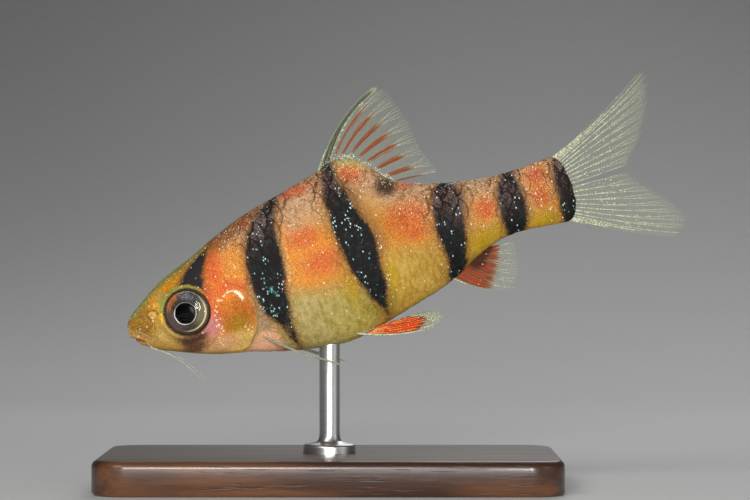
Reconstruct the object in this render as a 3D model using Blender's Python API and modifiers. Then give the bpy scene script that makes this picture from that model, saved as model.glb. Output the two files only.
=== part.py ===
"""A five-banded barb at life size, a still display model held on a plain stand.

The fish is built in its own frame, in millimetres: x runs from the snout back to the tail,
z runs up through the back and the left flank faces -y. One empty tips that frame nose down
and sets it over the middle of the stand. The world is in metres, +z up, with its origin at
the centre of the underside of the stand's base.
"""

import math

import bmesh
import bpy
from mathutils import Matrix, Vector

MM = 0.001
GAP = 0.3

# Pose of the fish over the stand
TAIL_UP = math.radians(17.13)
SNOUT_AHEAD = 17.6
SNOUT_HEIGHT = 14.15

# Side outline of the body, as (x, z); the back leaves out the scaly sheath of the dorsal fin
NOSE = (-0.12, -0.45)
BACK = (
    NOSE, (0.35, 0.53), (1.5, 1.38), (3.24, 2.52), (5.04, 3.33), (6.9, 4.02), (9.0, 4.96),
    (12.1, 6.12), (16.1, 7.1), (19.6, 7.8), (21.5, 7.7), (23.9, 6.65), (25.9, 5.25),
    (28.0, 4.38), (31.4, 3.5), (35.0, 3.06), (37.7, 3.1), (41.5, 3.35),
)
BELLY = (
    NOSE, (0.1, -1.25), (0.55, -1.77), (1.4, -2.55), (3.24, -3.42), (6.5, -4.68), (9.9, -5.52),
    (12.8, -6.32), (16.3, -6.95), (18.6, -7.08), (20.6, -6.68), (24.3, -5.78), (27.6, -4.88),
    (29.4, -4.1), (31.1, -3.2), (34.0, -2.38), (38.3, -2.62), (41.5, -2.95),
)
FIN_SHEATH = (
    (18.8, 0.0), (19.6, 0.14), (20.5, 0.5), (22.4, 0.93), (23.9, 0.78), (25.2, 0.12), (26.0, 0.0),
)
SHEATH_SPREAD = 0.33

# Half width of the body, the level where it is widest, and how sharp its back and belly are
HALF_WIDTH = (
    (NOSE[0], 0.0), (0.35, 0.85), (1.0, 1.28), (2.0, 1.72), (3.5, 2.2), (5.25, 2.6), (7.0, 2.88),
    (9.0, 3.1), (11.5, 3.28), (15.0, 3.4), (19.0, 3.28), (23.0, 2.9), (27.0, 2.3), (31.0, 1.72),
    (35.0, 1.2), (38.0, 0.88), (41.5, 0.6),
)
WIDEST_LEVEL = (
    NOSE, (2.0, -0.55), (5.0, -0.8), (9.0, -0.9), (15.0, -0.4), (20.0, 0.1), (28.0, 0.1),
    (35.0, 0.3), (41.5, 0.2),
)
BACK_SHARPNESS = ((NOSE[0], 0.85), (5.0, 0.8), (9.0, 0.9), (15.0, 1.1), (24.0, 1.2), (41.5, 1.1))
BELLY_SHARPNESS = (
    (NOSE[0], 0.85), (5.0, 0.9), (9.0, 0.9), (16.0, 0.82), (24.0, 0.95), (32.0, 1.1), (41.5, 1.1),
)
BODY_SIDES = 28
STEM_SIDES = 24

# Where the flesh is parted: along the gill opening, behind the anal fin and round the tail base
GILL_OPENING = (
    (9.8, 10.0), (9.7, 6.0), (9.45, 3.0), (9.5, 1.15), (10.25, 0.62), (10.9, -0.1), (11.33, -1.15),
    (11.28, -2.6), (10.75, -3.85), (9.8, -4.9), (8.9, -5.6), (8.6, -10.0),
)
STEM_START = 32.3
STEM_END = {"x": 39.35, "z": 0.22, "long": 1.35, "high": 2.98}

# Limits of masks and cutters, clear of the whole body
AHEAD = -3.0
BEHIND = 45.0
AWAY = 8.0
LEVEL_AWAY = 10.0

# Gill cover plate: its front edge from top to bottom, the plate itself and the flesh inside it
GILL_COVER_FRONT = (
    (10.6, 1.02), (9.4, 1.05), (8.76, 0.8), (8.4, 0.1), (8.22, -1.2), (7.88, -2.25), (7.5, -3.1),
    (7.45, -3.8), (7.95, -4.3), (8.8, -4.47), (11.5, -4.45),
)
GILL_COVER_PROUD = 0.12
GILL_COVER_THICK = 0.9
GILL_COVER_INNER = 1.5
GILL_COVER_SPAN = (5.5, 13.5)

# Eye
EYE = (5.25, -0.43)
EYE_LEVEL = 2.0
EYE_RADIUS = 2.1
EYE_OUTER = 0.95
EYE_INNER = 1.35
EYE_FULLNESS = 2.5
EYE_FORWARD_TURN = math.radians(9.0)
EYE_UP_TURN = math.radians(3.0)
EYE_STEPS = 24
PUPIL_RADIUS = 0.95
LENS_PROUD = 0.1
ORBIT_RADIUS = 2.42
ORBIT_RIM = 0.2

# Mouth, lips and nostrils
MOUTH_FRONT = (-0.3, -1.12)
MOUTH_CORNER = (0.95, -1.78)
MOUTH_OPEN = 0.18
MOUTH_REACH = 3.0
LIP_RADIUS = 0.21
LIP_OFFSET = 0.26
LIP_REACH = 1.02
LIP_END = 0.4
LIP_SUNK = 0.05
NOSTRIL = (2.37, 0.27)
NOSTRIL_RADIUS = 0.3
NOSTRIL_RIM = 0.13
NOSTRIL_PIT = 0.24

# Barbels: the place of the root on the skin as (x, z), then the rest of the line as (x, y, z)
BARBEL_ROOT = (1.25, -2.0)
BARBEL_LINE = (
    (1.5, 1.38, -2.45), (2.0, 1.5, -2.85), (2.78, 1.6, -3.45), (3.6, 1.72, -4.33),
    (4.29, 1.84, -5.36), (4.98, 1.95, -6.55),
)
SNOUT_BARBEL_ROOT = (0.85, -0.72)
SNOUT_BARBEL_LINE = ((0.88, 1.72, -0.86), (1.2, 1.9, -1.14), (1.6, 2.08, -1.52), (2.0, 2.2, -1.95))
BARBEL_RADIUS = 0.25
BARBEL_TIP = 0.11

# Fins: half the thickness of the web, and the ridges of the rays on it
FIN_HALF = 0.25
FIN_ROWS = 7
PAIRED_FIN_ROWS = 6
RAY_PROUD = 0.12
RAY_END_FADE = 0.15
FORK_AT_ROOT = 0.1
FORK_GROWTH = 0.16
TAPER_FROM = 0.72
TIP_SHARE = 0.45
WEB_NOTCH = 0.03
TIP_SPACING = 0.13

# Each upright fin: the short rays before the long simple one as shares of its length, the
# number of forked rays behind it, the free edge from its tip back, and how the rays bow
DORSAL = {
    "base": (19.85, 25.85),
    "crowding": 1.15,
    "short": (0.2, 0.5),
    "forked": 8,
    "edge": (
        (26.87, 13.68), (27.52, 12.94), (28.2, 11.45), (28.62, 9.7), (28.8, 8.0), (29.25, 6.4),
        (30.05, 4.72),
    ),
    "bow": (-0.39, 0.69),
    "outward": (-0.3, 0.95),
}
ANAL = {
    "base": (28.35, 31.85),
    "crowding": 1.0,
    "short": (0.22, 0.52),
    "forked": 5,
    "edge": ((33.2, -7.05), (33.78, -6.3), (34.05, -5.4), (34.3, -4.1), (34.35, -2.86)),
    "bow": (-0.2, -0.36),
    "outward": (0.0, -1.0),
}
LOBES = {
    "caudal_fin_upper": {
        "root": (86.0, 4.0),
        "short": (0.14, 0.32, 0.56),
        "forked": 9,
        "edge": (
            (49.25, 8.16), (49.32, 7.2), (49.02, 5.8), (48.42, 4.25), (47.55, 2.75), (46.5, 1.55),
            (45.6, 0.42),
        ),
        "bow": (0.1, -0.24),
        "outward": (-0.45, 0.9),
    },
    "caudal_fin_lower": {
        "root": (-86.0, -4.0),
        "short": (0.14, 0.32, 0.56),
        "forked": 8,
        "edge": (
            (48.3, -6.85), (49.08, -6.15), (49.02, -5.05), (48.4, -3.95), (47.35, -2.6),
            (46.35, -1.4), (45.5, 0.02),
        ),
        "bow": (0.25, -0.42),
        "outward": (-0.3, -0.95),
    },
}
LOBE_INNER_BOW = 0.9

# Paired fins: base and free edge or spread, from the simple ray at the front to the last one
PELVIC_BASE = ((18.95, 1.3), (20.7, 0.6))
PELVIC_LIFT = 0.2
PELVIC_EDGE = (
    (25.4, 2.75, -7.98), (26.3, 2.5, -7.5), (26.5, 2.1, -7.05), (25.9, 1.5, -6.72), (24.5, 0.95, -6.5),
)
PELVIC_RAYS = 9
PELVIC_BOW = (0.1, 0.33)
PECTORAL_BASE = ((10.98, -4.25), (11.75, -4.85))
PECTORAL_LIFT = 0.1
PECTORAL_LINE = Vector((0.805, 0.0, -0.594))
PECTORAL_SPREAD = (46.0, 9.0)
PECTORAL_LENGTHS = ((0.0, 7.9), (0.2, 8.5), (0.5, 8.0), (0.8, 6.6), (1.0, 5.4))
PECTORAL_RAYS = 11
PECTORAL_BOW = (-0.1, 0.12, -0.18)

# Stand; the heights in the rod's outline are above its foot
BASE_SIZE = (40.0, 24.0, 3.0)
BASE_CORNER = 3.0
BASE_EDGE = 0.6
ROD_RADIUS = 0.9
ROD_TOP = 12.7
ROD_STEPS = 20
FLANGE_OUTLINE = ((0.9, 1.3), (1.25, 0.9), (2.0, 0.8), (2.3, 0.55), (2.3, 0.0), (0.0, 0.0))

COLOURS = {
    "head": (0.55, 0.3, 0.08),
    "gill_cover": (0.8, 0.36, 0.14),
    "torso": (0.8, 0.27, 0.1),
    "tail_stem": (0.72, 0.36, 0.1),
    "eye": (0.05, 0.05, 0.06),
    "barbel": (0.75, 0.7, 0.55),
    "dorsal_fin": (0.62, 0.12, 0.08),
    "anal_fin": (0.5, 0.08, 0.05),
    "caudal_fin": (0.72, 0.72, 0.6),
    "pelvic_fin": (0.85, 0.14, 0.05),
    "pectoral_fin": (0.6, 0.62, 0.55),
    "stand_base": (0.12, 0.06, 0.03),
    "stand_rod": (0.7, 0.7, 0.7),
}
ROUGHNESS = 0.4
SHARP_ANGLE = math.radians(40)


def smooth_curve(points):
    """A function through the points: cubic between them, with averaged slopes at each."""
    xs = [p[0] for p in points]
    ys = [p[1] for p in points]
    steps = [(ys[i + 1] - ys[i]) / (xs[i + 1] - xs[i]) for i in range(len(xs) - 1)]
    slopes = [steps[0]]
    for i in range(1, len(steps)):
        before = xs[i] - xs[i - 1]
        after = xs[i + 1] - xs[i]
        slopes.append((steps[i - 1] * after + steps[i] * before) / (before + after))
    slopes.append(steps[-1])

    def value(x):
        x = min(max(x, xs[0]), xs[-1])
        i = max(j for j in range(len(xs) - 1) if xs[j] <= x)
        width = xs[i + 1] - xs[i]
        t = (x - xs[i]) / width
        rise = ys[i] * (1 + 2 * t) * (1 - t) ** 2 + ys[i + 1] * t * t * (3 - 2 * t)
        return rise + width * (slopes[i] * t * (1 - t) ** 2 - slopes[i + 1] * t * t * (1 - t))

    return value


def from_nose(x):
    """Distance behind the nose on a scale that makes a round nose a straight line."""
    return math.sqrt(max(x - NOSE[0], 0.0))


def nose_curve(points):
    curve = smooth_curve([(from_nose(x), value) for x, value in points])
    return lambda x: curve(from_nose(x))


back_at = nose_curve(BACK)
belly_at = nose_curve(BELLY)
half_width_at = nose_curve(HALF_WIDTH)
widest_at = smooth_curve(WIDEST_LEVEL)
back_power_at = smooth_curve(BACK_SHARPNESS)
belly_power_at = smooth_curve(BELLY_SHARPNESS)
sheath_at = smooth_curve(FIN_SHEATH)


def ridge_at(x):
    """Height of the back at x with the scaly sheath of the dorsal fin on it."""
    return back_at(x) + sheath_at(x)


def section_point(x, angle, grow=0.0):
    """A point of the skin at x: angle 0 is the back and pi the belly, and +y is the right flank."""
    level = widest_at(x)
    up = math.cos(angle)
    side = abs(math.sin(angle))
    if up >= 0:
        z = level + (back_at(x) + grow - level) * up
        power = back_power_at(x)
    else:
        z = level + (level - belly_at(x) + grow) * up
        power = belly_power_at(x)
    off_ridge = min(angle, 2 * math.pi - angle)
    z += sheath_at(x) * math.exp(-((off_ridge / SHEATH_SPREAD) ** 2))
    y = (half_width_at(x) + grow) * side**power
    return Vector((x, math.copysign(y, math.sin(angle)), z))


def skin_half_width(x, z):
    """Half width of the body at a place of its side view, and 0 outside its outline."""
    level = widest_at(x)
    if z >= level:
        up = (z - level) / (back_at(x) - level)
        power = back_power_at(x)
    else:
        up = (level - z) / (level - belly_at(x))
        power = belly_power_at(x)
    if up >= 1:
        return 0.0
    return half_width_at(x) * (1 - up * up) ** (power / 2)


def skin_underside(x, y):
    """Height of the belly's skin at x, a distance y from the middle."""
    side = min(abs(y) / half_width_at(x), 1.0) ** (1 / belly_power_at(x))
    level = widest_at(x)
    return level - (level - belly_at(x)) * math.sqrt(1 - side * side)


def off_skin(x, z, side, distance):
    """The point a distance off the flank at a place of its side view; side is -1 on the left."""
    step = 0.05
    along = (skin_half_width(x + step, z) - skin_half_width(x - step, z)) / (2 * step)
    up = (skin_half_width(x, z + step) - skin_half_width(x, z - step)) / (2 * step)
    outward = Vector((-along, side, -up)).normalized()
    return Vector((x, side * skin_half_width(x, z), z)) + outward * distance


def new_object(name, bm, collection):
    bmesh.ops.recalc_face_normals(bm, faces=bm.faces)
    mesh = bpy.data.meshes.new(name)
    bm.to_mesh(mesh)
    bm.free()
    obj = bpy.data.objects.new(name, mesh)
    collection.objects.link(obj)
    return obj


def loft(name, stations, around, collection, grow=0.0):
    """The body between the stations, closed at both ends; a first station at the nose is a point."""
    bm = bmesh.new()
    rings = []
    for x in stations:
        if x <= NOSE[0]:
            rings.append([bm.verts.new(Vector((NOSE[0] - grow, 0.0, NOSE[1])) * MM)])
            continue
        turn = 2 * math.pi / around
        ring = [bm.verts.new(section_point(x, i * turn, grow) * MM) for i in range(around)]
        rings.append(ring)
    for first, second in zip(rings, rings[1:]):
        for i in range(around):
            j = (i + 1) % around
            if len(first) == 1:
                bm.faces.new((first[0], second[j], second[i]))
            else:
                bm.faces.new((first[i], first[j], second[j], second[i]))
    for ring in (rings[0], rings[-1]):
        if len(ring) > 1:
            bm.faces.new(ring)
    return new_object(name, bm, collection)


def prism(name, outline, y_low, y_high, collection):
    """A flat outline of (x, z) points drawn out across the body from y_low to y_high."""
    bm = bmesh.new()
    face = bm.faces.new([bm.verts.new(Vector((x, y_low, z)) * MM) for x, z in outline])
    grown = bmesh.ops.extrude_face_region(bm, geom=[face])
    moved = [item for item in grown["geom"] if isinstance(item, bmesh.types.BMVert)]
    bmesh.ops.translate(bm, verts=moved, vec=(0, (y_high - y_low) * MM, 0))
    bmesh.ops.triangulate(bm, faces=[f for f in bm.faces if len(f.verts) > 4])
    return new_object(name, bm, collection)


def tube(name, path, radii, sides, collection, aside=(0.0, 1.0, 0.0), closed=False):
    """A round tube along a path that keeps clear of the direction aside, flat ended unless closed."""
    bm = bmesh.new()
    count = len(path)
    rings = []
    for i, point in enumerate(path):
        if closed:
            ahead = path[(i + 1) % count] - path[i - 1]
        else:
            ahead = path[min(i + 1, count - 1)] - path[max(i - 1, 0)]
        across = ahead.cross(Vector(aside)).normalized()
        other = ahead.cross(across).normalized()
        ring = []
        for j in range(sides):
            turn = 2 * math.pi * j / sides
            spoke = across * math.cos(turn) + other * math.sin(turn)
            ring.append(bm.verts.new((point + spoke * radii[i]) * MM))
        rings.append(ring)
    for i in range(count if closed else count - 1):
        first = rings[i]
        second = rings[(i + 1) % count]
        for j in range(sides):
            k = (j + 1) % sides
            bm.faces.new((first[j], first[k], second[k], second[j]))
    if not closed:
        bm.faces.new(rings[0])
        bm.faces.new(rings[-1])
    return new_object(name, bm, collection)


def evaluated_mesh(obj):
    graph = bpy.context.evaluated_depsgraph_get()
    return bpy.data.meshes.new_from_object(obj.evaluated_get(graph), depsgraph=graph)


def keep_largest(obj):
    """Drops every closed surface of the mesh but the one with the most faces."""
    bm = bmesh.new()
    bm.from_mesh(obj.data)
    left = set(bm.faces)
    islands = []
    while left:
        island = {left.pop()}
        edge = list(island)
        while edge:
            face = edge.pop()
            for border in face.edges:
                for other in border.link_faces:
                    if other in left:
                        left.remove(other)
                        island.add(other)
                        edge.append(other)
        islands.append(island)
    largest = max(islands, key=len)
    loose = [face for island in islands if island is not largest for face in island]
    bmesh.ops.delete(bm, geom=loose, context="FACES")
    bm.to_mesh(obj.data)
    bm.free()


def combine(obj, others, operation):
    """Joins to obj, or cuts from it, the other closed meshes, which are then removed."""
    group = bpy.data.collections.new("operands")
    bpy.context.scene.collection.children.link(group)
    for other in others:
        for holder in list(other.users_collection):
            holder.objects.unlink(other)
        group.objects.link(other)
    modifier = obj.modifiers.new(operation.lower(), "BOOLEAN")
    modifier.operation = operation
    modifier.operand_type = "COLLECTION"
    modifier.collection = group
    modifier.solver = "EXACT"
    bpy.context.view_layer.update()
    mesh = evaluated_mesh(obj)
    obj.modifiers.clear()
    obj.data = mesh
    for other in others:
        bpy.data.objects.remove(other)
    bpy.data.collections.remove(group)
    keep_largest(obj)
    return obj


def offset_line(points, distance):
    """The open line of (x, z) points moved sideways, to its right for a positive distance."""
    moved = []
    for i, (x, z) in enumerate(points):
        before = points[max(i - 1, 0)]
        after = points[min(i + 1, len(points) - 1)]
        along = Vector((after[0] - before[0], after[1] - before[1])).normalized()
        moved.append((x - along.y * distance, z + along.x * distance))
    return moved


def smooth_line(points, steps):
    """More points along an open line, on a cubic through the given ones."""
    fine = []
    for i in range(len(points) - 1):
        p0 = Vector(points[max(i - 1, 0)])
        p1 = Vector(points[i])
        p2 = Vector(points[i + 1])
        p3 = Vector(points[min(i + 2, len(points) - 1)])
        for j in range(steps):
            t = j / steps
            ends = p1 * (1 - 3 * t * t + 2 * t**3) + p2 * (3 * t * t - 2 * t**3)
            bends = (p2 - p0) * (t - 2 * t * t + t**3) + (p3 - p1) * (t**3 - t * t)
            fine.append(tuple(ends + bends / 2))
    fine.append(points[-1])
    return fine


def along_line(points, share):
    """The point at a share of the way along a line of points, smoothed."""
    steps = 8
    fine = smooth_line(points, steps)
    last = len(fine) - 1
    i = min(int(share * last), last - 1)
    return Vector(fine[i]).lerp(Vector(fine[i + 1]), share * last - i)


def spaced(low, high, count):
    return [low + (high - low) * i / (count - 1) for i in range(count)]


def gill_line(distance):
    return offset_line(smooth_line(GILL_OPENING, 3), distance)


def stem_end_line(distance, low, high, count):
    """Points round the end of the tail stem, a distance behind it, between two angles in degrees."""
    line = []
    for degrees in spaced(low, high, count):
        angle = math.radians(degrees)
        x = STEM_END["x"] + (STEM_END["long"] + distance) * math.cos(angle)
        line.append((x, STEM_END["z"] + (STEM_END["high"] + distance) * math.sin(angle)))
    return line


def eye_profile(grow):
    """Half profile of the eye, as (radius, height) from its outer pole to its inner one."""
    profile = []
    for angle in spaced(math.pi / 2, -math.pi / 2, 13):
        height = math.sin(angle)
        radius = max(1 - abs(height) ** EYE_FULLNESS, 0.0) ** (1 / EYE_FULLNESS)
        reach = EYE_OUTER if height > 0 else EYE_INNER
        profile.append(((EYE_RADIUS + grow) * radius, (reach + grow) * height))
    return profile


def turned(name, profile, steps, collection):
    """A solid turned round z from a profile of (radius, height) that runs from the top down."""
    bm = bmesh.new()
    verts = [bm.verts.new(Vector((radius, 0.0, height)) * MM) for radius, height in profile]
    for first, second in zip(verts, verts[1:]):
        bm.edges.new((first, second))
    obj = new_object(name, bm, collection)
    screw = obj.modifiers.new("turn", "SCREW")
    screw.steps = steps
    screw.render_steps = steps
    screw.use_merge_vertices = True
    screw.merge_threshold = 1e-6
    obj.data = evaluated_mesh(obj)
    obj.modifiers.clear()
    return obj


def eye_solid(name, side, grow, collection):
    """The eyeball, with a low dome over the pupil; the socket is the same shape grown, without it."""
    profile = eye_profile(grow)
    if grow == 0.0:
        lens = []
        for radius, height in profile:
            dome = max(1 - (radius / PUPIL_RADIUS) ** 2, 0.0)
            lens.append((radius, height + LENS_PROUD * math.sqrt(dome) if height > 0 else height))
        profile = lens
    obj = turned(name, profile, EYE_STEPS, collection)
    axis = Vector((
        -math.sin(EYE_FORWARD_TURN),
        side * math.cos(EYE_FORWARD_TURN) * math.cos(EYE_UP_TURN),
        math.sin(EYE_UP_TURN),
    ))
    turn = axis.to_track_quat("Z", "X").to_matrix().to_4x4()
    place = Matrix.Translation(Vector((EYE[0], side * EYE_LEVEL, EYE[1])) * MM)
    obj.data.transform(place @ turn)
    return obj


def ring_on_skin(name, centre, radius, thickness, count, side, collection):
    """A low rim that lies on the flank in a circle of the side view."""
    path = []
    for i in range(count):
        turn = 2 * math.pi * i / count
        x = centre[0] + radius * math.cos(turn)
        z = centre[1] + radius * math.sin(turn)
        path.append(Vector((x, side * skin_half_width(x, z), z)))
    return tube(name, path, [thickness] * count, 5, collection, closed=True)


def mouth_height(x):
    share = (x - MOUTH_FRONT[0]) / (MOUTH_CORNER[0] - MOUTH_FRONT[0])
    return MOUTH_FRONT[1] + share * (MOUTH_CORNER[1] - MOUTH_FRONT[1])


def lip(name, offset, collection):
    """A lip from one corner of the mouth round the snout to the other, thinner at both ends."""
    path = []
    radii = []
    for turn in spaced(-math.pi / 2, math.pi / 2, 15):
        y = LIP_REACH * math.sin(turn)
        low = NOSE[0]
        high = MOUTH_CORNER[0] + LIP_END
        for _ in range(24):
            middle = (low + high) / 2
            if skin_half_width(middle, mouth_height(middle) + offset) <= abs(y) + LIP_SUNK:
                low = middle
            else:
                high = middle
        path.append(Vector((low, y, mouth_height(low) + offset * (0.6 + 0.4 * math.cos(turn)))))
        radii.append(LIP_RADIUS * (LIP_END + (1 - LIP_END) * math.cos(turn) ** 0.5))
    return tube(name, path, radii, 8, collection, aside=(0.0, 0.0, 1.0))


def mouth_cutter(collection):
    half = MOUTH_OPEN / 2
    corner_x, corner_z = MOUTH_CORNER
    front = mouth_height(AHEAD)
    outline = [
        (AHEAD, front - half), (corner_x, corner_z - half / 2), (corner_x, corner_z + half / 2),
        (AHEAD, front + half),
    ]
    return prism("mouth_cut", outline, -MOUTH_REACH, MOUTH_REACH, collection)


def nostril_pit(side, collection):
    bm = bmesh.new()
    bmesh.ops.create_icosphere(bm, subdivisions=1, radius=NOSTRIL_PIT * MM)
    bmesh.ops.translate(bm, verts=bm.verts, vec=off_skin(*NOSTRIL, side, 0.0) * MM)
    return new_object("nostril_pit", bm, collection)


def gill_block(name, edge_gap, inner, side, collection):
    """All that lies behind the front edge of a gill cover, from inner outwards."""
    front = offset_line(smooth_line(GILL_COVER_FRONT, 2), edge_gap)
    outline = front + [(BEHIND, front[-1][1]), (BEHIND, front[0][1])]
    low, high = sorted((side * inner, side * AWAY))
    return prism(name, outline, low, high, collection)


def gill_shell(grow, collection):
    return loft("shell", spaced(*GILL_COVER_SPAN, 17), BODY_SIDES, collection, grow)


def gill_cover(name, side, collection):
    """A curved plate that stands a little proud of the cheek, in front of the gill opening."""
    plate = gill_shell(GILL_COVER_PROUD, collection)
    plate.name = name
    combine(plate, [gill_block("mask", GAP, GILL_COVER_INNER, side, collection)], "INTERSECT")
    combine(plate, [gill_front_mask(collection)], "INTERSECT")
    return combine(plate, [gill_shell(GILL_COVER_PROUD - GILL_COVER_THICK, collection)], "DIFFERENCE")


def gill_recess(side, collection):
    """Room in the head for one gill cover, open to the gill opening behind it."""
    block = gill_block("recess", 0.0, GILL_COVER_INNER - GAP, side, collection)
    core = gill_shell(GILL_COVER_PROUD - GILL_COVER_THICK - GAP, collection)
    return combine(block, [core], "DIFFERENCE")


def gill_front_mask(collection):
    """All that lies in front of the gill opening."""
    outline = [(AHEAD, LEVEL_AWAY), (AHEAD, -LEVEL_AWAY)] + gill_line(-GAP / 2)[::-1]
    return prism("mask", outline, -AWAY, AWAY, collection)


def head(collection):
    step = 0.14
    stations = [NOSE[0] + (step * i) ** 2 for i in range(26)]
    obj = loft("head", stations, BODY_SIDES, collection)
    combine(obj, [gill_front_mask(collection)], "INTERSECT")
    rims = [lip("upper_lip", LIP_OFFSET, collection), lip("lower_lip", -LIP_OFFSET, collection)]
    for side in (-1, 1):
        rims.append(ring_on_skin("orbit", EYE, ORBIT_RADIUS, ORBIT_RIM, EYE_STEPS, side, collection))
        rims.append(ring_on_skin("nostril", NOSTRIL, NOSTRIL_RADIUS, NOSTRIL_RIM, 10, side, collection))
    combine(obj, rims, "UNION")
    cuts = [mouth_cutter(collection)]
    for side in (-1, 1):
        cuts.append(eye_solid("socket", side, GAP, collection))
        cuts.append(nostril_pit(side, collection))
        cuts.append(gill_recess(side, collection))
    return combine(obj, cuts, "DIFFERENCE")


def torso(collection):
    obj = loft("torso", spaced(7.6, STEM_START - GAP / 2, 23), BODY_SIDES, collection)
    outline = gill_line(GAP / 2) + [(BEHIND, -LEVEL_AWAY), (BEHIND, LEVEL_AWAY)]
    return combine(obj, [prism("mask", outline, -AWAY, AWAY, collection)], "INTERSECT")


def tail_stem(collection):
    obj = loft("tail_stem", spaced(STEM_START + GAP / 2, 41.2, 8), STEM_SIDES, collection)
    start = STEM_START - GAP
    middle = STEM_END["x"]
    outline = stem_end_line(0.0, 90, -90, 13)
    outline += [(middle, -AWAY), (start, -AWAY), (start, AWAY), (middle, AWAY)]
    return combine(obj, [prism("mask", outline, -AWAY, AWAY, collection)], "INTERSECT")


def flat(point, y=0.0):
    return Vector((point[0], y, point[1]))


def ray(root, tip, bow, forked, ridge=1.0):
    """One fin ray: a curve from root to tip whose middle is moved by bow, raised up to ridge."""
    control = (root + tip) / 2 + Vector(bow) * 2
    return {"root": root, "tip": tip, "control": control, "forked": forked, "ridge": ridge}


def along_ray(one, share):
    back = 1 - share
    return one["root"] * back * back + one["control"] * 2 * share * back + one["tip"] * share * share


def across_rays(rays, place, share):
    """The point between two rays at a share of their lengths; place counts the rays."""
    i = min(int(place), len(rays) - 2)
    return along_ray(rays[i], share).lerp(along_ray(rays[i + 1], share), place - i)


def fin_columns(rays):
    """Columns of a fin as (place among the rays, side of a fork or 0, what it is)."""
    columns = []
    last = len(rays) - 1
    for i, one in enumerate(rays):
        if i > 0:
            columns.append((i - 0.5, 0, "web"))
        if one["forked"] and i < last:
            columns += [(i, -1, "branch"), (i, 0, "stem"), (i, 1, "branch")]
        else:
            columns.append((i, 0, "branch"))
    return columns


def ridge_height(kind, share, ridge):
    """Height of a column's ridge at a share of the ray, as a share of RAY_PROUD."""
    if kind == "web":
        return 0.0
    if kind == "stem":
        return 1 - share
    return min(max((ridge - share) / RAY_END_FADE + 1, 0.0), 1.0)


def fin_column(rays, place, fork, kind, half, rows):
    """Points down one column of a fin, each with its outward direction and half thickness."""
    last = len(rays) - 1
    step = 0.02
    ridge = rays[int(place)]["ridge"]
    column = []
    for share in spaced(0.0, 1.0, rows + 1):
        reach = share * (1 - WEB_NOTCH) if kind == "web" else share
        at = min(max(place + fork * (FORK_AT_ROOT + FORK_GROWTH * share), 0.0), last)
        beside = [across_rays(rays, min(max(at + s, 0.0), last), reach) for s in (-step, step)]
        onward = [across_rays(rays, at, min(max(reach + s, 0.0), 1.0)) for s in (-step, step)]
        normal = (beside[1] - beside[0]).cross(onward[1] - onward[0]).normalized()
        fade = min(1.0, (1 - share) / (1 - TAPER_FROM))
        thick = half + RAY_PROUD * ridge_height(kind, share, ridge)
        thick *= TIP_SHARE + (1 - TIP_SHARE) * fade
        column.append((across_rays(rays, at, reach), normal, thick))
    return column


def fin(name, rays, collection, half=FIN_HALF, rows=FIN_ROWS):
    """A webbed fin: rays stand proud of the web on both faces, and fork towards the free edge."""
    grid = [fin_column(rays, *column, half, rows) for column in fin_columns(rays)]
    bm = bmesh.new()
    faces = []
    for side in (1, -1):
        faces.append([[bm.verts.new((p + n * t * side) * MM) for p, n, t in column] for column in grid])
    left, right = faces
    for c in range(len(grid) - 1):
        for r in range(rows):
            for sheet in faces:
                a, b = sheet[c][r], sheet[c + 1][r]
                d, e = sheet[c + 1][r + 1], sheet[c][r + 1]
                bm.faces.new((a, b, d))
                bm.faces.new((a, d, e))
        for r in (0, rows):
            bm.faces.new((left[c][r], left[c + 1][r], right[c + 1][r], right[c][r]))
    for c in (0, -1):
        for r in range(rows):
            bm.faces.new((left[c][r], left[c][r + 1], right[c][r + 1], right[c][r]))
    return new_object(name, bm, collection)


def upright_rays(roots, shape, bow_at):
    """Rays of an unpaired fin: bundled simple ones at its front edge, then forked ones to its rear."""
    short = shape["short"]
    edge = [Vector(point) for point in shape["edge"]]
    outward = Vector(shape["outward"]).normalized()
    rays = []
    for i, root in enumerate(roots):
        part = max(i - len(short), 0) / shape["forked"]
        inset = TIP_SPACING * min(i, len(short)) * (1 - part)
        tip = along_line(edge, part) - outward * inset
        ridge = short[i] if i < len(short) else 1.0
        rays.append(ray(flat(root), flat(tip), flat(bow_at(part)), part > 0, ridge))
    return rays


def ray_roots(shape, level_at):
    """Places of the roots along the base of the dorsal or the anal fin, as (x, z)."""
    low, high = shape["base"]
    count = len(shape["short"]) + 1 + shape["forked"]
    places = [low + (high - low) * share ** shape["crowding"] for share in spaced(0.0, 1.0, count)]
    return [(x, level_at(x)) for x in places]


def dorsal_fin(collection):
    roots = ray_roots(DORSAL, lambda x: ridge_at(x) + GAP)
    rays = upright_rays(roots, DORSAL, lambda part: Vector(DORSAL["bow"]) * (1 - part) ** 1.2)
    return fin("dorsal_fin", rays, collection)


def anal_fin(collection):
    roots = ray_roots(ANAL, lambda x: belly_at(x) - GAP)
    rays = upright_rays(roots, ANAL, lambda part: Vector(ANAL["bow"]) * (1 - part))
    return fin("anal_fin", rays, collection)


def caudal_lobe(name, collection):
    """One lobe of the tail fin, whose inner rays bow outwards."""
    lobe = LOBES[name]
    count = len(lobe["short"]) + 1 + lobe["forked"]
    outward = math.copysign(LOBE_INNER_BOW, lobe["root"][0])

    def bow_at(part):
        return Vector(lobe["bow"]) * (1 - part) ** 3 + Vector((0.0, outward * part * (1 - part) ** 2))

    rays = upright_rays(stem_end_line(GAP, *lobe["root"], count), lobe, bow_at)
    return fin(name, rays, collection)


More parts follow.
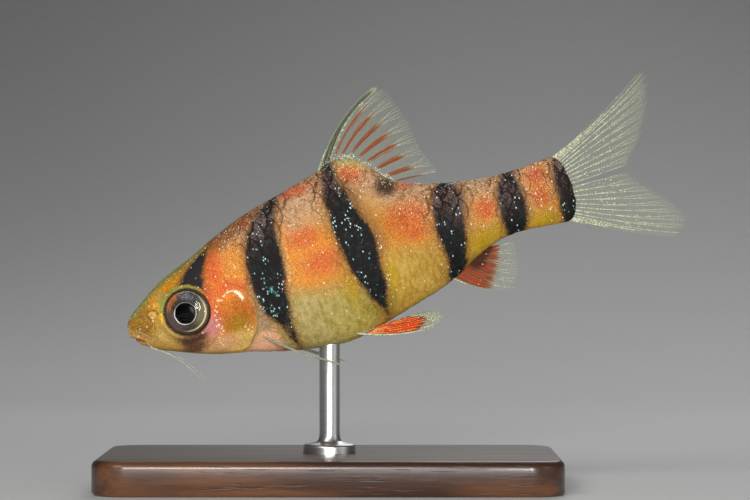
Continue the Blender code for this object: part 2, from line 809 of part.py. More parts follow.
def pelvic_fin(name, side, collection):
    """A folded pelvic fin, one simple ray outermost and eight forked ones."""
    rays = []
    for part in spaced(0.0, 1.0, PELVIC_RAYS):
        base = Vector(PELVIC_BASE[0]).lerp(Vector(PELVIC_BASE[1]), part)
        level = skin_underside(*base) - GAP - PELVIC_LIFT
        tip = along_line(PELVIC_EDGE, part)
        bow = (0.0, side * PELVIC_BOW[0], -PELVIC_BOW[1] * (1 - part))
        root = Vector((base.x, side * base.y, level))
        rays.append(ray(root, Vector((tip.x, side * tip.y, tip.z)), bow, part > 0))
    return fin(name, rays, collection, rows=PAIRED_FIN_ROWS)


def pectoral_fin(name, side, collection):
    """A pectoral fin held out like a wing, so that it is edge on from the flank."""
    length_at = smooth_curve(PECTORAL_LENGTHS)
    bow = (PECTORAL_BOW[0], side * PECTORAL_BOW[1], PECTORAL_BOW[2])
    rays = []
    for part in spaced(0.0, 1.0, PECTORAL_RAYS):
        x, z = Vector(PECTORAL_BASE[0]).lerp(Vector(PECTORAL_BASE[1]), part)
        root = Vector((x, side * (skin_half_width(x, z) + GAP + PECTORAL_LIFT), z))
        angle = math.radians(PECTORAL_SPREAD[0] + (PECTORAL_SPREAD[1] - PECTORAL_SPREAD[0]) * part)
        out = PECTORAL_LINE * math.cos(angle) + Vector((0.0, side * math.sin(angle), 0.0))
        rays.append(ray(root, root + out * length_at(part), bow, part > 0))
    return fin(name, rays, collection, rows=PAIRED_FIN_ROWS)


def barbel(name, root, line, side, collection):
    """A feeler that starts a gap off the skin at root and tapers along the line."""
    path = [off_skin(*root, side, GAP)]
    path += [Vector((x, side * y, z)) for x, y, z in line]
    return tube(name, path, spaced(BARBEL_RADIUS, BARBEL_TIP, len(path)), 6, collection)


def stand_base(collection):
    """A block with rounded corners and a softened top edge."""
    bm = bmesh.new()
    bmesh.ops.create_cube(bm, size=1.0)
    bmesh.ops.scale(bm, verts=bm.verts, vec=Vector(BASE_SIZE) * MM)
    bmesh.ops.translate(bm, verts=bm.verts, vec=(0, 0, BASE_SIZE[2] / 2 * MM))
    upright = [e for e in bm.edges if abs(e.verts[0].co.z - e.verts[1].co.z) > MM]
    bmesh.ops.bevel(bm, geom=upright, offset=BASE_CORNER * MM, segments=5, profile=0.5, affect="EDGES")
    bm.normal_update()
    top = max(bm.faces, key=lambda face: face.calc_center_median().z)
    rim = list(top.edges)
    bmesh.ops.bevel(bm, geom=rim, offset=BASE_EDGE * MM, segments=2, profile=0.5, affect="EDGES")
    return new_object("stand_base", bm, collection)


def stand_rod(pose, collection):
    """A rod in a small foot, cut at the top to the curve of the belly."""
    foot = BASE_SIZE[2] + GAP
    profile = [(0.0, foot + ROD_TOP), (ROD_RADIUS, foot + ROD_TOP)]
    profile += [(radius, foot + height) for radius, height in FLANGE_OUTLINE]
    obj = turned("stand_rod", profile, ROD_STEPS, collection)
    room = loft("room", spaced(8.0, 26.0, 19), BODY_SIDES, collection, GAP)
    room.data.transform(pose)
    return combine(obj, [room], "DIFFERENCE")


def material(name, colour, metallic):
    made = bpy.data.materials.new(name)
    made.use_nodes = True
    shader = made.node_tree.nodes["Principled BSDF"]
    shader.inputs["Base Color"].default_value = (*colour, 1.0)
    shader.inputs["Roughness"].default_value = ROUGHNESS
    shader.inputs["Metallic"].default_value = metallic
    return made


def finish(obj):
    """Gives a sub-part its own material and smooth shading."""
    colour = next(COLOURS[key] for key in COLOURS if key in obj.name)
    metallic = 1.0 if obj.name == "stand_rod" else 0.0
    obj.data.materials.clear()
    obj.data.materials.append(material(obj.name, colour, metallic))
    obj.data.shade_smooth()
    obj.data.set_sharp_from_angle(angle=SHARP_ANGLE)


def main():
    for old in list(bpy.data.objects):
        bpy.data.objects.remove(old)
    parts = bpy.data.collections.new("five_banded_barb")
    bpy.context.scene.collection.children.link(parts)

    pose = bpy.data.objects.new("fish_pose", None)
    parts.objects.link(pose)
    placed = Matrix.Translation(Vector((-SNOUT_AHEAD, 0.0, SNOUT_HEIGHT)) * MM)
    pose.matrix_world = placed @ Matrix.Rotation(-TAIL_UP, 4, "Y")

    fish = [head(parts), torso(parts), tail_stem(parts), dorsal_fin(parts), anal_fin(parts)]
    fish += [caudal_lobe(name, parts) for name in LOBES]
    for side, word in ((-1, "left"), (1, "right")):
        fish.append(gill_cover(f"gill_cover_{word}", side, parts))
        fish.append(eye_solid(f"eye_{word}", side, 0.0, parts))
        fish.append(barbel(f"barbel_{word}", BARBEL_ROOT, BARBEL_LINE, side, parts))
        fish.append(barbel(f"snout_barbel_{word}", SNOUT_BARBEL_ROOT, SNOUT_BARBEL_LINE, side, parts))
        fish.append(pelvic_fin(f"pelvic_fin_{word}", side, parts))
        fish.append(pectoral_fin(f"pectoral_fin_{word}", side, parts))
    for obj in fish:
        obj.parent = pose
    stand = [stand_base(parts), stand_rod(pose.matrix_world, parts)]
    for obj in fish + stand:
        finish(obj)


main()
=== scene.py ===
"""Looks of a five-banded barb at life size on a display stand.

The fish is worked out in its own frame, in millimetres: x runs from the snout back to the tail,
z runs up through the back and the left flank faces -y. Markings are zones and lines of its side
view. Each vertex carries them as numbers, which the materials break up into grains and specks.
"""

import math

import bpy
import numpy as np
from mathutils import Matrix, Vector


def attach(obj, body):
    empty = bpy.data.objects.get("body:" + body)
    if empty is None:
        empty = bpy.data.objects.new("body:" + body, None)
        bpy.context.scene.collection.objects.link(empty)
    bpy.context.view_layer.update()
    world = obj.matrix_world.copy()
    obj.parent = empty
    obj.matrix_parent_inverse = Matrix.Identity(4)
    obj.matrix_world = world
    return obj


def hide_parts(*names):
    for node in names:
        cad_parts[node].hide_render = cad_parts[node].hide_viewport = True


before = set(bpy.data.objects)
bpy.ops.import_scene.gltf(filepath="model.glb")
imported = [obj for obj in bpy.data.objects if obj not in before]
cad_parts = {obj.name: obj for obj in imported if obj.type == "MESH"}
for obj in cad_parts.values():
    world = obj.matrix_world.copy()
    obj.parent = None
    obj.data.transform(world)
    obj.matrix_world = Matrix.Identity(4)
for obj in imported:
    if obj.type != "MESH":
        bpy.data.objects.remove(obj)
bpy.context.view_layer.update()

MM = 0.001
TAIL_UP = math.radians(17.13)
SNOUT_AT = (-17.6, 0.0, 14.15)

# Body outline and section, as in the solids
NOSE = (-0.12, -0.45)
BACK = (
    NOSE, (0.35, 0.53), (1.5, 1.38), (3.24, 2.52), (5.04, 3.33), (6.9, 4.02), (9.0, 4.96),
    (12.1, 6.12), (16.1, 7.1), (19.6, 7.8), (21.5, 7.7), (23.9, 6.65), (25.9, 5.25),
    (28.0, 4.38), (31.4, 3.5), (35.0, 3.06), (37.7, 3.1), (41.5, 3.35),
)
BELLY = (
    NOSE, (0.1, -1.25), (0.55, -1.77), (1.4, -2.55), (3.24, -3.42), (6.5, -4.68), (9.9, -5.52),
    (12.8, -6.32), (16.3, -6.95), (18.6, -7.08), (20.6, -6.68), (24.3, -5.78), (27.6, -4.88),
    (29.4, -4.1), (31.1, -3.2), (34.0, -2.38), (38.3, -2.62), (41.5, -2.95),
)
FIN_SHEATH = (
    (18.8, 0.0), (19.6, 0.14), (20.5, 0.5), (22.4, 0.93), (23.9, 0.78), (25.2, 0.12), (26.0, 0.0),
)
SHEATH_SPREAD = 0.33
HALF_WIDTH = (
    (NOSE[0], 0.0), (0.35, 0.85), (1.0, 1.28), (2.0, 1.72), (3.5, 2.2), (5.25, 2.6), (7.0, 2.88),
    (9.0, 3.1), (11.5, 3.28), (15.0, 3.4), (19.0, 3.28), (23.0, 2.9), (27.0, 2.3), (31.0, 1.72),
    (35.0, 1.2), (38.0, 0.88), (41.5, 0.6),
)
WIDEST_LEVEL = (
    NOSE, (2.0, -0.55), (5.0, -0.8), (9.0, -0.9), (15.0, -0.4), (20.0, 0.1), (28.0, 0.1),
    (35.0, 0.3), (41.5, 0.2),
)
BACK_SHARPNESS = ((NOSE[0], 0.85), (5.0, 0.8), (9.0, 0.9), (15.0, 1.1), (24.0, 1.2), (41.5, 1.1))
BELLY_SHARPNESS = (
    (NOSE[0], 0.85), (5.0, 0.9), (9.0, 0.9), (16.0, 0.82), (24.0, 0.95), (32.0, 1.1), (41.5, 1.1),
)
STEM_END = {"x": 39.35, "z": 0.22, "long": 1.35, "high": 2.98}
GILL_OPENING = (
    (9.8, 10.0), (9.7, 6.0), (9.45, 3.0), (9.5, 1.15), (10.25, 0.62), (10.9, -0.1), (11.33, -1.15),
    (11.28, -2.6), (10.75, -3.85), (9.8, -4.9), (8.9, -5.6), (8.6, -10.0),
)
PREOPERCLE = ((8.31, 0.3), (8.25, -1.17), (7.83, -2.14), (7.42, -3.2), (6.44, -3.99), (5.2, -4.2))
MOUTH = ((-0.5, -1.05), (0.04, -1.27), (0.46, -1.47), (0.95, -1.78))
NOSTRIL = (2.45, 0.2)

# Eye
EYE = (5.4, -0.43)
EYE_SHIFT = 0.1
EYE_SIZE = 0.95
EYE_LEVEL = 2.02
EYE_FORWARD_TURN = math.radians(9.0)
EYE_UP_TURN = math.radians(3.0)
SOCKET = 2.05
PUPIL = 0.98
PUPIL_SHIFT = (-0.15, -0.12)

SIDES = ((-1, "left"), (1, "right"))

# Bars: front and rear edge of each, as (z, x) from the belly up
BARS = (
    (
        ((0.9, 5.3), (1.9, 5.4), (2.5, 5.8), (3.1, 6.45), (3.7, 7.3), (4.1, 8.1), (5.0, 9.6)),
        ((0.3, 7.2), (0.99, 7.35), (1.88, 7.5), (2.7, 7.8), (3.3, 8.15), (4.3, 8.7), (5.0, 9.2)),
    ),
    (
        (
            (-6.1, 13.9), (-5.77, 13.38), (-4.49, 12.5), (-3.48, 12.17), (-2.27, 11.81),
            (-0.81, 11.53), (1.03, 11.46), (3.2, 11.85), (4.79, 12.62), (6.0, 13.72), (6.77, 14.9),
        ),
        (
            (-6.1, 13.86), (-5.18, 13.84), (-3.99, 13.84), (-2.5, 14.03), (-0.75, 14.29),
            (0.97, 14.64), (2.76, 14.73), (4.12, 14.79), (5.56, 15.14), (6.65, 15.65),
        ),
    ),
    (
        (
            (-6.6, 22.0), (-5.5, 21.68), (-4.43, 21.19), (-2.68, 20.54), (-0.95, 19.98),
            (0.78, 19.69), (2.82, 19.59), (3.98, 19.67), (5.41, 19.48), (6.69, 19.78), (7.9, 20.1),
        ),
        (
            (-6.6, 22.0), (-5.02, 22.2), (-3.74, 22.5), (-2.41, 22.64), (-0.61, 22.73),
            (1.18, 22.83), (2.5, 22.5), (3.9, 22.02), (5.38, 21.66), (6.72, 21.16), (7.9, 21.2),
        ),
    ),
    (
        (
            (-4.9, 28.1), (-4.08, 28.06), (-2.97, 28.31), (-1.87, 28.28), (-0.71, 28.09),
            (0.72, 28.17), (2.19, 28.44), (3.25, 28.86), (3.9, 29.7),
        ),
        (
            (-4.9, 28.0), (-4.36, 28.97), (-3.68, 29.73), (-2.85, 29.99), (-1.6, 30.37),
            (-0.3, 30.59), (1.01, 30.81), (2.26, 31.2), (3.19, 30.85), (3.9, 30.6),
        ),
    ),
    (
        (
            (-2.9, 34.1), (-1.96, 33.92), (-0.86, 33.89), (0.5, 33.94), (1.77, 34.25), (2.78, 34.83),
            (3.2, 35.2),
        ),
        (
            (-2.9, 35.2), (-2.28, 35.55), (-1.67, 35.92), (-0.67, 36.23), (0.69, 36.29),
            (1.82, 36.18), (2.86, 36.04), (3.2, 35.9),
        ),
    ),
    (
        ((-2.9, 38.95), (-2.42, 38.98), (-1.1, 39.11), (0.26, 39.17), (1.86, 39.3), (3.3, 39.8)),
        ((-2.9, 39.8), (-2.24, 40.25), (-1.26, 40.65), (0.37, 40.7), (1.86, 40.75), (3.3, 40.6)),
    ),
)
EYE_BAR_END = 2.36
EYE_BAR_LOWEST = 0.3

# Lines across the flank: where the pale belly starts, and the lateral line, as (x, z)
BELLY_LINE = (
    (7.0, -4.6), (10.0, -2.6), (12.5, -1.0), (14.5, -1.5), (17.0, -2.2), (19.7, -2.4), (22.0, -1.2),
    (23.6, -0.6), (27.0, -1.3), (32.0, -1.3), (36.8, -1.5), (38.5, -2.3), (41.5, -2.6),
)
LATERAL_LINE = (
    (-0.12, -0.45), (9.0, 1.7), (12.39, 1.39), (15.96, 0.83), (21.28, 0.29), (26.67, 0.0),
    (32.11, -0.12), (37.57, -0.17), (41.5, -0.17),
)

# Zones of the side view, as ellipses (x, z, half length, half height)
RED = (
    (16.9, 2.7, 1.5, 0.85), (18.0, 0.3, 1.7, 1.1), (25.9, 1.7, 1.7, 1.3), (26.4, 0.5, 1.2, 0.8),
    (32.8, 0.5, 0.9, 0.9), (37.8, 2.0, 0.8, 0.9), (37.7, 0.1, 0.7, 0.9), (8.5, 2.6, 1.0, 1.7),
    (7.7, 0.6, 0.5, 0.9), (9.2, 0.7, 1.3, 0.6), (12.4, 5.6, 0.8, 0.5), (17.2, 6.9, 1.6, 0.45),
    (26.8, 4.6, 1.2, 0.35), (10.6, 0.3, 0.6, 0.4), (22.2, 6.9, 1.0, 0.6),
)
ORANGE = (
    (16.8, -0.4, 2.5, 1.1), (15.4, 1.6, 0.8, 2.6), (17.4, 1.4, 2.3, 1.7), (23.9, -1.8, 1.2, 0.9),
    (25.6, 1.1, 2.5, 1.7), (38.0, 0.9, 1.3, 2.0), (32.5, 0.4, 1.5, 1.2), (8.9, 2.2, 1.9, 2.7),
    (10.4, 2.2, 1.3, 2.4), (39.0, -1.0, 0.6, 1.2),
)
YELLOW = (
    (31.6, -2.2, 1.6, 1.0), (37.3, -2.0, 1.8, 0.8), (23.2, -2.6, 0.6, 1.6), (19.7, -2.6, 0.5, 1.6),
    (33.3, -1.7, 0.7, 0.8),
)
# Patches where painted glints gather, mostly on the head
GLITTER = (
    (8.26, -0.45, 0.35, 0.5), (7.83, -2.1, 0.25, 0.9), (7.45, -3.67, 0.22, 0.4), (12.6, -4.3, 0.7, 0.3),
    (10.3, 2.0, 0.8, 0.9), (10.2, -3.3, 0.4, 0.4), (22.9, -3.2, 0.35, 1.5), (23.1, 0.5, 0.35, 1.0),
)
# Patches darkened as painted shade
SHADED = (
    (18.5, -3.9, 3.4, 1.5), (24.9, 1.6, 1.5, 2.0), (38.4, 0.2, 1.0, 3.2), (4.1, -2.0, 1.0, 0.6),
    (14.6, 4.6, 1.0, 1.2),
)
UNDER_EYE = ((4.9, -3.0, 0.9, 0.7), (5.6, -2.8, 0.7, 0.45), (5.2, -3.5, 1.0, 0.45))
DORSAL_SPOT = ((25.0, 4.9, 0.78, 0.72),)
DORSAL_BASE = ((22.6, 7.6, 2.2, 0.8),)
LOW_BAR = ((21.9, -4.9, 1.2, 1.3),)
# Painted glint: a turquoise dash in the first bar, as points (x, z) along it
TURQUOISE_DASH = ((12.98, -0.72), (13.16, -1.02), (13.22, -1.32))


def smooth_curve(points):
    """A function through the points: cubic between them, with averaged slopes at each."""
    xs, ys = np.array(points, float).T
    wide = np.diff(xs)
    steps = np.diff(ys) / wide
    inner = (steps[:-1] * wide[1:] + steps[1:] * wide[:-1]) / (wide[:-1] + wide[1:])
    slopes = np.concatenate(([steps[0]], inner, [steps[-1]]))

    def value(x):
        x = np.clip(x, xs[0], xs[-1])
        i = np.clip(np.searchsorted(xs, x, side="right") - 1, 0, len(wide) - 1)
        t = (x - xs[i]) / wide[i]
        rise = ys[i] * (1 + 2 * t) * (1 - t) ** 2 + ys[i + 1] * t * t * (3 - 2 * t)
        return rise + wide[i] * (slopes[i] * t * (1 - t) ** 2 - slopes[i + 1] * t * t * (1 - t))

    return value


def nose_curve(points):
    """A smooth curve that rises steeply at the snout, as a blunt end does."""
    curve = smooth_curve([(math.sqrt(max(x - NOSE[0], 0.0)), value) for x, value in points])
    return lambda x: curve(np.sqrt(np.maximum(x - NOSE[0], 0.0)))


back_at = nose_curve(BACK)
belly_at = nose_curve(BELLY)
half_width_at = nose_curve(HALF_WIDTH)
widest_at = smooth_curve(WIDEST_LEVEL)
back_power_at = smooth_curve(BACK_SHARPNESS)
belly_power_at = smooth_curve(BELLY_SHARPNESS)
sheath_at = smooth_curve(FIN_SHEATH)
lateral_at = smooth_curve(LATERAL_LINE)
belly_line_at = smooth_curve(BELLY_LINE)


def smoothstep(low, high, value):
    t = np.clip((value - low) / (high - low), 0.0, 1.0)
    return t * t * (3 - 2 * t)


def spread(value, low, high, width=0.08):
    """1 between low and high, with soft ends."""
    return smoothstep(low - width, low + width, value) * smoothstep(high + width, high - width, value)


def to_world(points):
    """Points of the fish's frame, in mm, as points of the world in metres."""
    cos = math.cos(TAIL_UP)
    sin = math.sin(TAIL_UP)
    x, y, z = points[..., 0], points[..., 1], points[..., 2]
    return np.stack([x * cos - z * sin + SNOUT_AT[0], y, x * sin + z * cos + SNOUT_AT[2]], -1) * MM


def section(x, angle, grow=0.0):
    """Points of the body's surface: angle 0 is the back, pi the belly, and +y the right flank."""
    level = widest_at(x)
    up = np.cos(angle)
    top = back_at(x) + grow - level
    bottom = level - belly_at(x) + grow
    power = np.where(up >= 0, back_power_at(x), belly_power_at(x))
    off_ridge = np.abs((angle + math.pi) % (2 * math.pi) - math.pi)
    z = level + np.where(up >= 0, top, bottom) * up
    z = z + sheath_at(x) * np.exp(-((off_ridge / SHEATH_SPREAD) ** 2))
    y = (half_width_at(x) + grow) * np.abs(np.sin(angle)) ** power * np.sign(np.sin(angle))
    past = np.clip((x - STEM_END["x"]) / STEM_END["long"], 0.0, 0.9999)
    shrink = np.sqrt(1 - past * past)
    z = STEM_END["z"] + (z - STEM_END["z"]) * shrink
    return np.stack([x + 0 * z, y * shrink**0.7, z], -1)


def unit(vectors):
    return vectors / np.maximum(np.linalg.norm(vectors, axis=-1, keepdims=True), 1e-9)


def outward(x, angle):
    """Unit normals of the body's surface."""
    step = 0.02
    along = section(x + step, angle) - section(x - step, angle)
    around = section(x, angle + step) - section(x, angle - step)
    return unit(np.cross(along, around))


def half_width(x, z):
    """Half width of the body at a place of its side view."""
    level = widest_at(x)
    up = np.where(z >= level, (z - level) / (back_at(x) - level), (level - z) / (level - belly_at(x)))
    power = np.where(z >= level, back_power_at(x), belly_power_at(x))
    return half_width_at(x) * np.maximum(1 - up * up, 0.0) ** (power / 2)


def underside(x, y):
    """Height of the belly's skin at x, a distance y from the middle."""
    side = min(abs(y) / half_width_at(x), 1.0) ** (1 / belly_power_at(x))
    level = widest_at(x)
    return level - (level - belly_at(x)) * math.sqrt(1 - side * side)


def line_distance(x, z, line):
    """Signed distance from a line of the side view, positive to the right of its direction."""
    best = np.full(np.shape(x), np.inf)
    sign = np.ones(np.shape(x))
    for (x0, z0), (x1, z1) in zip(line, line[1:]):
        dx, dz = x1 - x0, z1 - z0
        t = np.clip(((x - x0) * dx + (z - z0) * dz) / (dx * dx + dz * dz), 0.0, 1.0)
        px, pz = x - x0 - t * dx, z - z0 - t * dz
        far = np.hypot(px, pz)
        sign = np.where(far < best, np.where(px * dz - pz * dx >= 0, 1.0, -1.0), sign)
        best = np.minimum(far, best)
    return best * sign


def smooth_line(points, steps):
    """More points along an open line, on a cubic through the given ones."""
    pts = [np.array(p, float) for p in points]
    fine = []
    for i in range(len(pts) - 1):
        p0, p1, p2, p3 = pts[max(i - 1, 0)], pts[i], pts[i + 1], pts[min(i + 2, len(pts) - 1)]
        for j in range(steps):
            t = j / steps
            ends = p1 * (1 - 3 * t * t + 2 * t**3) + p2 * (3 * t * t - 2 * t**3)
            bends = (p2 - p0) * (t - 2 * t * t + t**3) + (p3 - p1) * (t**3 - t * t)
            fine.append(ends + bends / 2)
    fine.append(pts[-1])
    return fine


def wobble(x, z):
    """A smooth uneven field of about -1 to 1, with waves of about a millimetre."""
    total = np.sin(x * 3.1 + 1.7 * np.sin(z * 2.3 + 0.4)) * np.sin(z * 3.7 + 1.3 * np.sin(x * 1.9))
    return 0.6 * total + 0.4 * np.sin(x * 7.3 + z * 5.1) * np.sin(z * 8.7 - x * 2.9 + 1.0)


def ellipses(x, z, shapes):
    """1 in the middle of any of the ellipses, 0.5 on its rim and 0 at twice its size."""
    best = np.zeros(np.shape(x))
    for cx, cz, rx, rz in shapes:
        best = np.maximum(best, 1 - 0.5 * np.hypot((x - cx) / rx, (z - cz) / rz))
    return best


def soft(zone, width=0.2):
    """A zone's share, 0.5 on its rim and smooth across it."""
    return smoothstep(0.5 - width, 0.5 + width, zone)


# Markings as fields of the side view
def under_colours(x, z, ahead, eye_r):
    """Smooth colours of the head and body, each laid over those before it by its share; a few layers are
    painted shade or painted light.
    """
    wx = x + 0.12 * wobble(x, z)
    wz = z + 0.12 * wobble(z + 3.0, x)
    head = soft(0.5 + ahead / 1.2)
    trunk = 1 - head
    depth = back_at(x) + sheath_at(x) - z
    mouth = line_distance(x, z, MOUTH)

    def patch(*shapes, width=0.4):
        return soft(ellipses(wx, wz, shapes), width)

    layers = [
        ((0.56, 0.25, 0.06), np.ones(np.shape(x))),
        ((0.44, 0.19, 0.05), soft(1 - depth / 3.2, 0.3) * trunk),
        ((0.66, 0.36, 0.21), 0.7 * spread(depth, 1.5, 4.6, 1.0) * trunk * smoothstep(13.0, 15.0, x)),
        ((0.24, 0.07, 0.018), soft(1 - depth / 2.8, 0.4) * spread(x, 8.6, 13.2, 0.8)),
        ((0.70, 0.22, 0.04), head * smoothstep(6.5, 8.0, x)),
        ((0.48, 0.24, 0.03), head * (1 - smoothstep(5.5, 7.5, x))),
        ((0.32, 0.155, 0.018), 1 - smoothstep(1.4, 3.2, wx + 0.25 * wz)),
        ((0.62, 0.26, 0.012), patch((4.2, 2.35, 1.7, 0.7), (3.1, 1.2, 0.6, 0.8), width=0.3)),
        ((0.36, 0.28, 0.06), patch((3.5, 1.3, 0.4, 0.6))),
        ((0.80, 0.48, 0.05), patch((3.15, 0.1, 0.5, 0.8))),
        ((0.52, 0.34, 0.09), patch((3.2, -1.9, 1.3, 0.9), (4.2, -2.6, 1.1, 0.4), width=0.35)),
        ((0.54, 0.31, 0.075), head * smoothstep(0.1, 0.9, belly_at(x) + 1.4 - z)),
        ((0.62, 0.12, 0.05), patch((7.9, -1.0, 0.9, 1.3))),
        ((0.42, 0.10, 0.010), head * patch((9.9, -1.5, 1.4, 1.3))),
        ((0.35, 0.17, 0.010), head * patch((9.4, -2.8, 1.2, 0.9))),
        ((0.66, 0.44, 0.11), head * patch((9.4, -4.2, 1.4, 0.8))),
        ((0.62, 0.23, 0.24), patch((6.95, -2.25, 0.8, 0.9))),
        ((0.66, 0.36, 0.18), patch((7.5, -4.0, 1.6, 0.6))),
        ((0.45, 0.29, 0.10), soft(1 - np.abs(ahead - 0.1) / 0.3, 0.3) * (z < 1.0)),
        ((0.39, 0.26, 0.15), trunk * patch((11.5, -3.0, 0.85, 2.3), width=0.3)),
        # pink isthmus, its own colour painted brighter as painted light against the shade under the
        # throat
        ((1.0, 0.50, 0.30), trunk * patch((11.2, -5.1, 2.0, 0.95), width=0.3)),
        # pale subopercle, its own colour painted brighter as painted light against the shade beneath it
        ((0.85, 0.50, 0.14), head * patch((9.0, -5.2, 1.8, 0.5), width=0.3)),
        ((0.66, 0.22, 0.04), patch((22.6, 7.2, 2.0, 1.3), width=0.3)),
        ((0.46, 0.38, 0.13), soft(1 - depth / 1.3, 0.35) * spread(x, 20.9, 24.6, 0.5)),
        ((0.16, 0.07, 0.008), soft(ellipses(x, z, ((*NOSTRIL, 0.56, 0.46),)), 0.12)),
        ((0.66, 0.36, 0.08), patch((*NOSTRIL, 0.42, 0.34), width=0.15)),
        ((0.50, 0.22, 0.06), 0.7 * np.exp(-((mouth / 0.3) ** 2))),
        # painted shade in the mouth's cleft
        ((0.07, 0.03, 0.01), np.exp(-((mouth / 0.07) ** 2))),
        # painted shade: a dark ring round the eye socket and the dark hollow under the eyeball
        ((0.07, 0.035, 0.015), soft(1 - np.abs(eye_r - SOCKET) / 0.12, 0.3)),
        ((0.015, 0.009, 0.006), 1 - smoothstep(1.8, 2.0, eye_r)),
    ]
    colour = np.zeros((*np.shape(x), 3))
    for tone, share in layers:
        share = np.broadcast_to(share, np.shape(x))[..., None]
        colour = colour * (1 - share) + np.array(tone) * share
    # painted light: the lower edge of the head and fore body is lightened against the shade beneath it
    underside_painted_light = smoothstep(1.3, 0.2, z - belly_at(x)) * spread(x, 4.0, 12.5, 1.5)
    return colour * (1 + 0.25 * underside_painted_light[..., None])


def bar_fields(x, z):
    """How far inside a bar each place is, and how far it is behind the rear edge of the nearest."""
    inside = np.full(np.shape(x), -9.0)
    behind = np.full(np.shape(x), 9.0)
    for number, (front, rear) in enumerate(BARS):
        after = x - smooth_curve(front)(z)
        before = smooth_curve(rear)(z) - x
        depth = np.minimum(after, before) * 0.9
        if number == 0:
            off_eye = np.hypot(x - EYE[0], z - EYE[1]) - EYE_BAR_END
            depth = np.minimum(np.minimum(depth, z - EYE_BAR_LOWEST), 3.0 * off_eye)
        if number == 1:
            depth = depth - 0.5 * smoothstep(-2.2, -4.4, z) * smoothstep(0.1, 0.6, before)
        if number == 2:
            depth = depth - 0.1 * smoothstep(-3.4, -5.0, z)
        inside = np.maximum(inside, depth)
        behind = np.where(np.abs(before) < np.abs(behind), -before, behind)
    return inside, behind


GILL_LINE = [tuple(p) for p in smooth_line(GILL_OPENING, 4)]
WHITE_ARC = smooth_line(((8.83, -0.08), (9.27, 0.16), (9.73, 0.15), (10.1, -0.1), (10.35, -0.63)), 5)


def olive_band(x, z, depth, eye_r):
    """The forehead's upper edge and an arc over the eye."""
    edge = (1.0 - depth / 0.9) * smoothstep(0.0, 0.8, x) * (1 - smoothstep(8.0, 9.5, x))
    lean = ((z - EYE[1]) - 0.25 * (x - EYE[0])) / np.maximum(eye_r, 0.1)
    arc = (1 - 0.5 * np.abs(eye_r - 2.24) / 0.17) * smoothstep(0.3, 0.6, lean)
    return np.maximum(edge, arc)


def rust_zone(x, z, depth, behind):
    """Rusty flesh just behind the rear bars."""
    rust = smoothstep(1.7, 0.2, behind) * smoothstep(-0.6, 0.0, behind) * smoothstep(18.5, 20.5, x)
    rust = rust * smoothstep(0.8, 2.5, depth)
    return rust * smoothstep(-1.6, 0.2, z) * smoothstep(36.0, 30.0, x)


def zones(points):
    """The numbers that the body's material reads, from places in the fish's frame."""
    x, z = points[..., 0], points[..., 2]
    ahead = line_distance(x, z, GILL_LINE)
    eye_r = np.hypot(x - EYE[0], z - EYE[1])
    depth = back_at(x) + sheath_at(x) - z
    inside, behind = bar_fields(x, z)
    head = soft(0.5 + ahead / 1.2)
    dark_patch = np.maximum(1.2 * ellipses(x, z, UNDER_EYE), 1.25 * ellipses(x, z, DORSAL_SPOT))
    cream = np.minimum(0.5 + (belly_line_at(x) - z) / 2.6, 1.0)
    cream = cream * smoothstep(11.9, 12.8, x + 0.22 * (z + 4.0))
    arc_half = 0.07 + 0.12 * smoothstep(9.5, 10.2, x)
    white = 1 - 0.5 * np.abs(line_distance(x, z, WHITE_ARC)) / arc_half
    sparkle = ellipses(x, z, GLITTER) * (1 - 0.25 * smoothstep(8.6, 9.6, x))
    scaled = smoothstep(0.3, -0.4, ahead)
    nape = spread(x, 8.4, 13.6, 1.0) * smoothstep(2.4, 0.3, depth)
    # painted glint: the turquoise dash
    dash = np.exp(-((line_distance(x, z, TURQUOISE_DASH) / 0.06) ** 2))
    pale_edge = smoothstep(0.9, 0.1, behind) * spread(x, 14.3, 16.0, 0.3) * spread(z, -1.0, 3.6, 0.8)
    snout = smoothstep(4.6, 1.6, x) * smoothstep(-2.4, -1.2, z)
    rust = rust_zone(x, z, depth, behind)
    return {
        "tint": under_colours(x, z, ahead, eye_r),
        "zone_a": np.stack([inside, behind, depth], -1),
        "zone_b": np.stack([ellipses(x, z, shapes) for shapes in (RED, ORANGE, YELLOW)], -1),
        "zone_c": np.stack([cream * (1 - head), olive_band(x, z, depth, eye_r), dark_patch], -1),
        "zone_d": np.stack([white, sparkle, scaled], -1),
        "zone_e": np.stack([np.abs(z - lateral_at(x)), nape, ellipses(x, z, DORSAL_BASE)], -1),
        "zone_f": np.stack([dash, pale_edge, snout], -1),
        "zone_g": np.stack([ellipses(x, z, LOW_BAR), rust, ellipses(x, z, SHADED)], -1),
    }


# Mesh making
def turned_inside_out(places, arrays):
    """Whether a closed piece's faces look inward, from the sign of its volume."""
    centred = places - places.mean(axis=0)
    volume = 0.0
    for a in arrays:
        for k in range(1, a.shape[1] - 1):
            p, q, r = centred[a[:, 0]], centred[a[:, k]], centred[a[:, k + 1]]
            volume += np.einsum("ij,ij->i", p, np.cross(q, r)).sum()
    return volume < 0


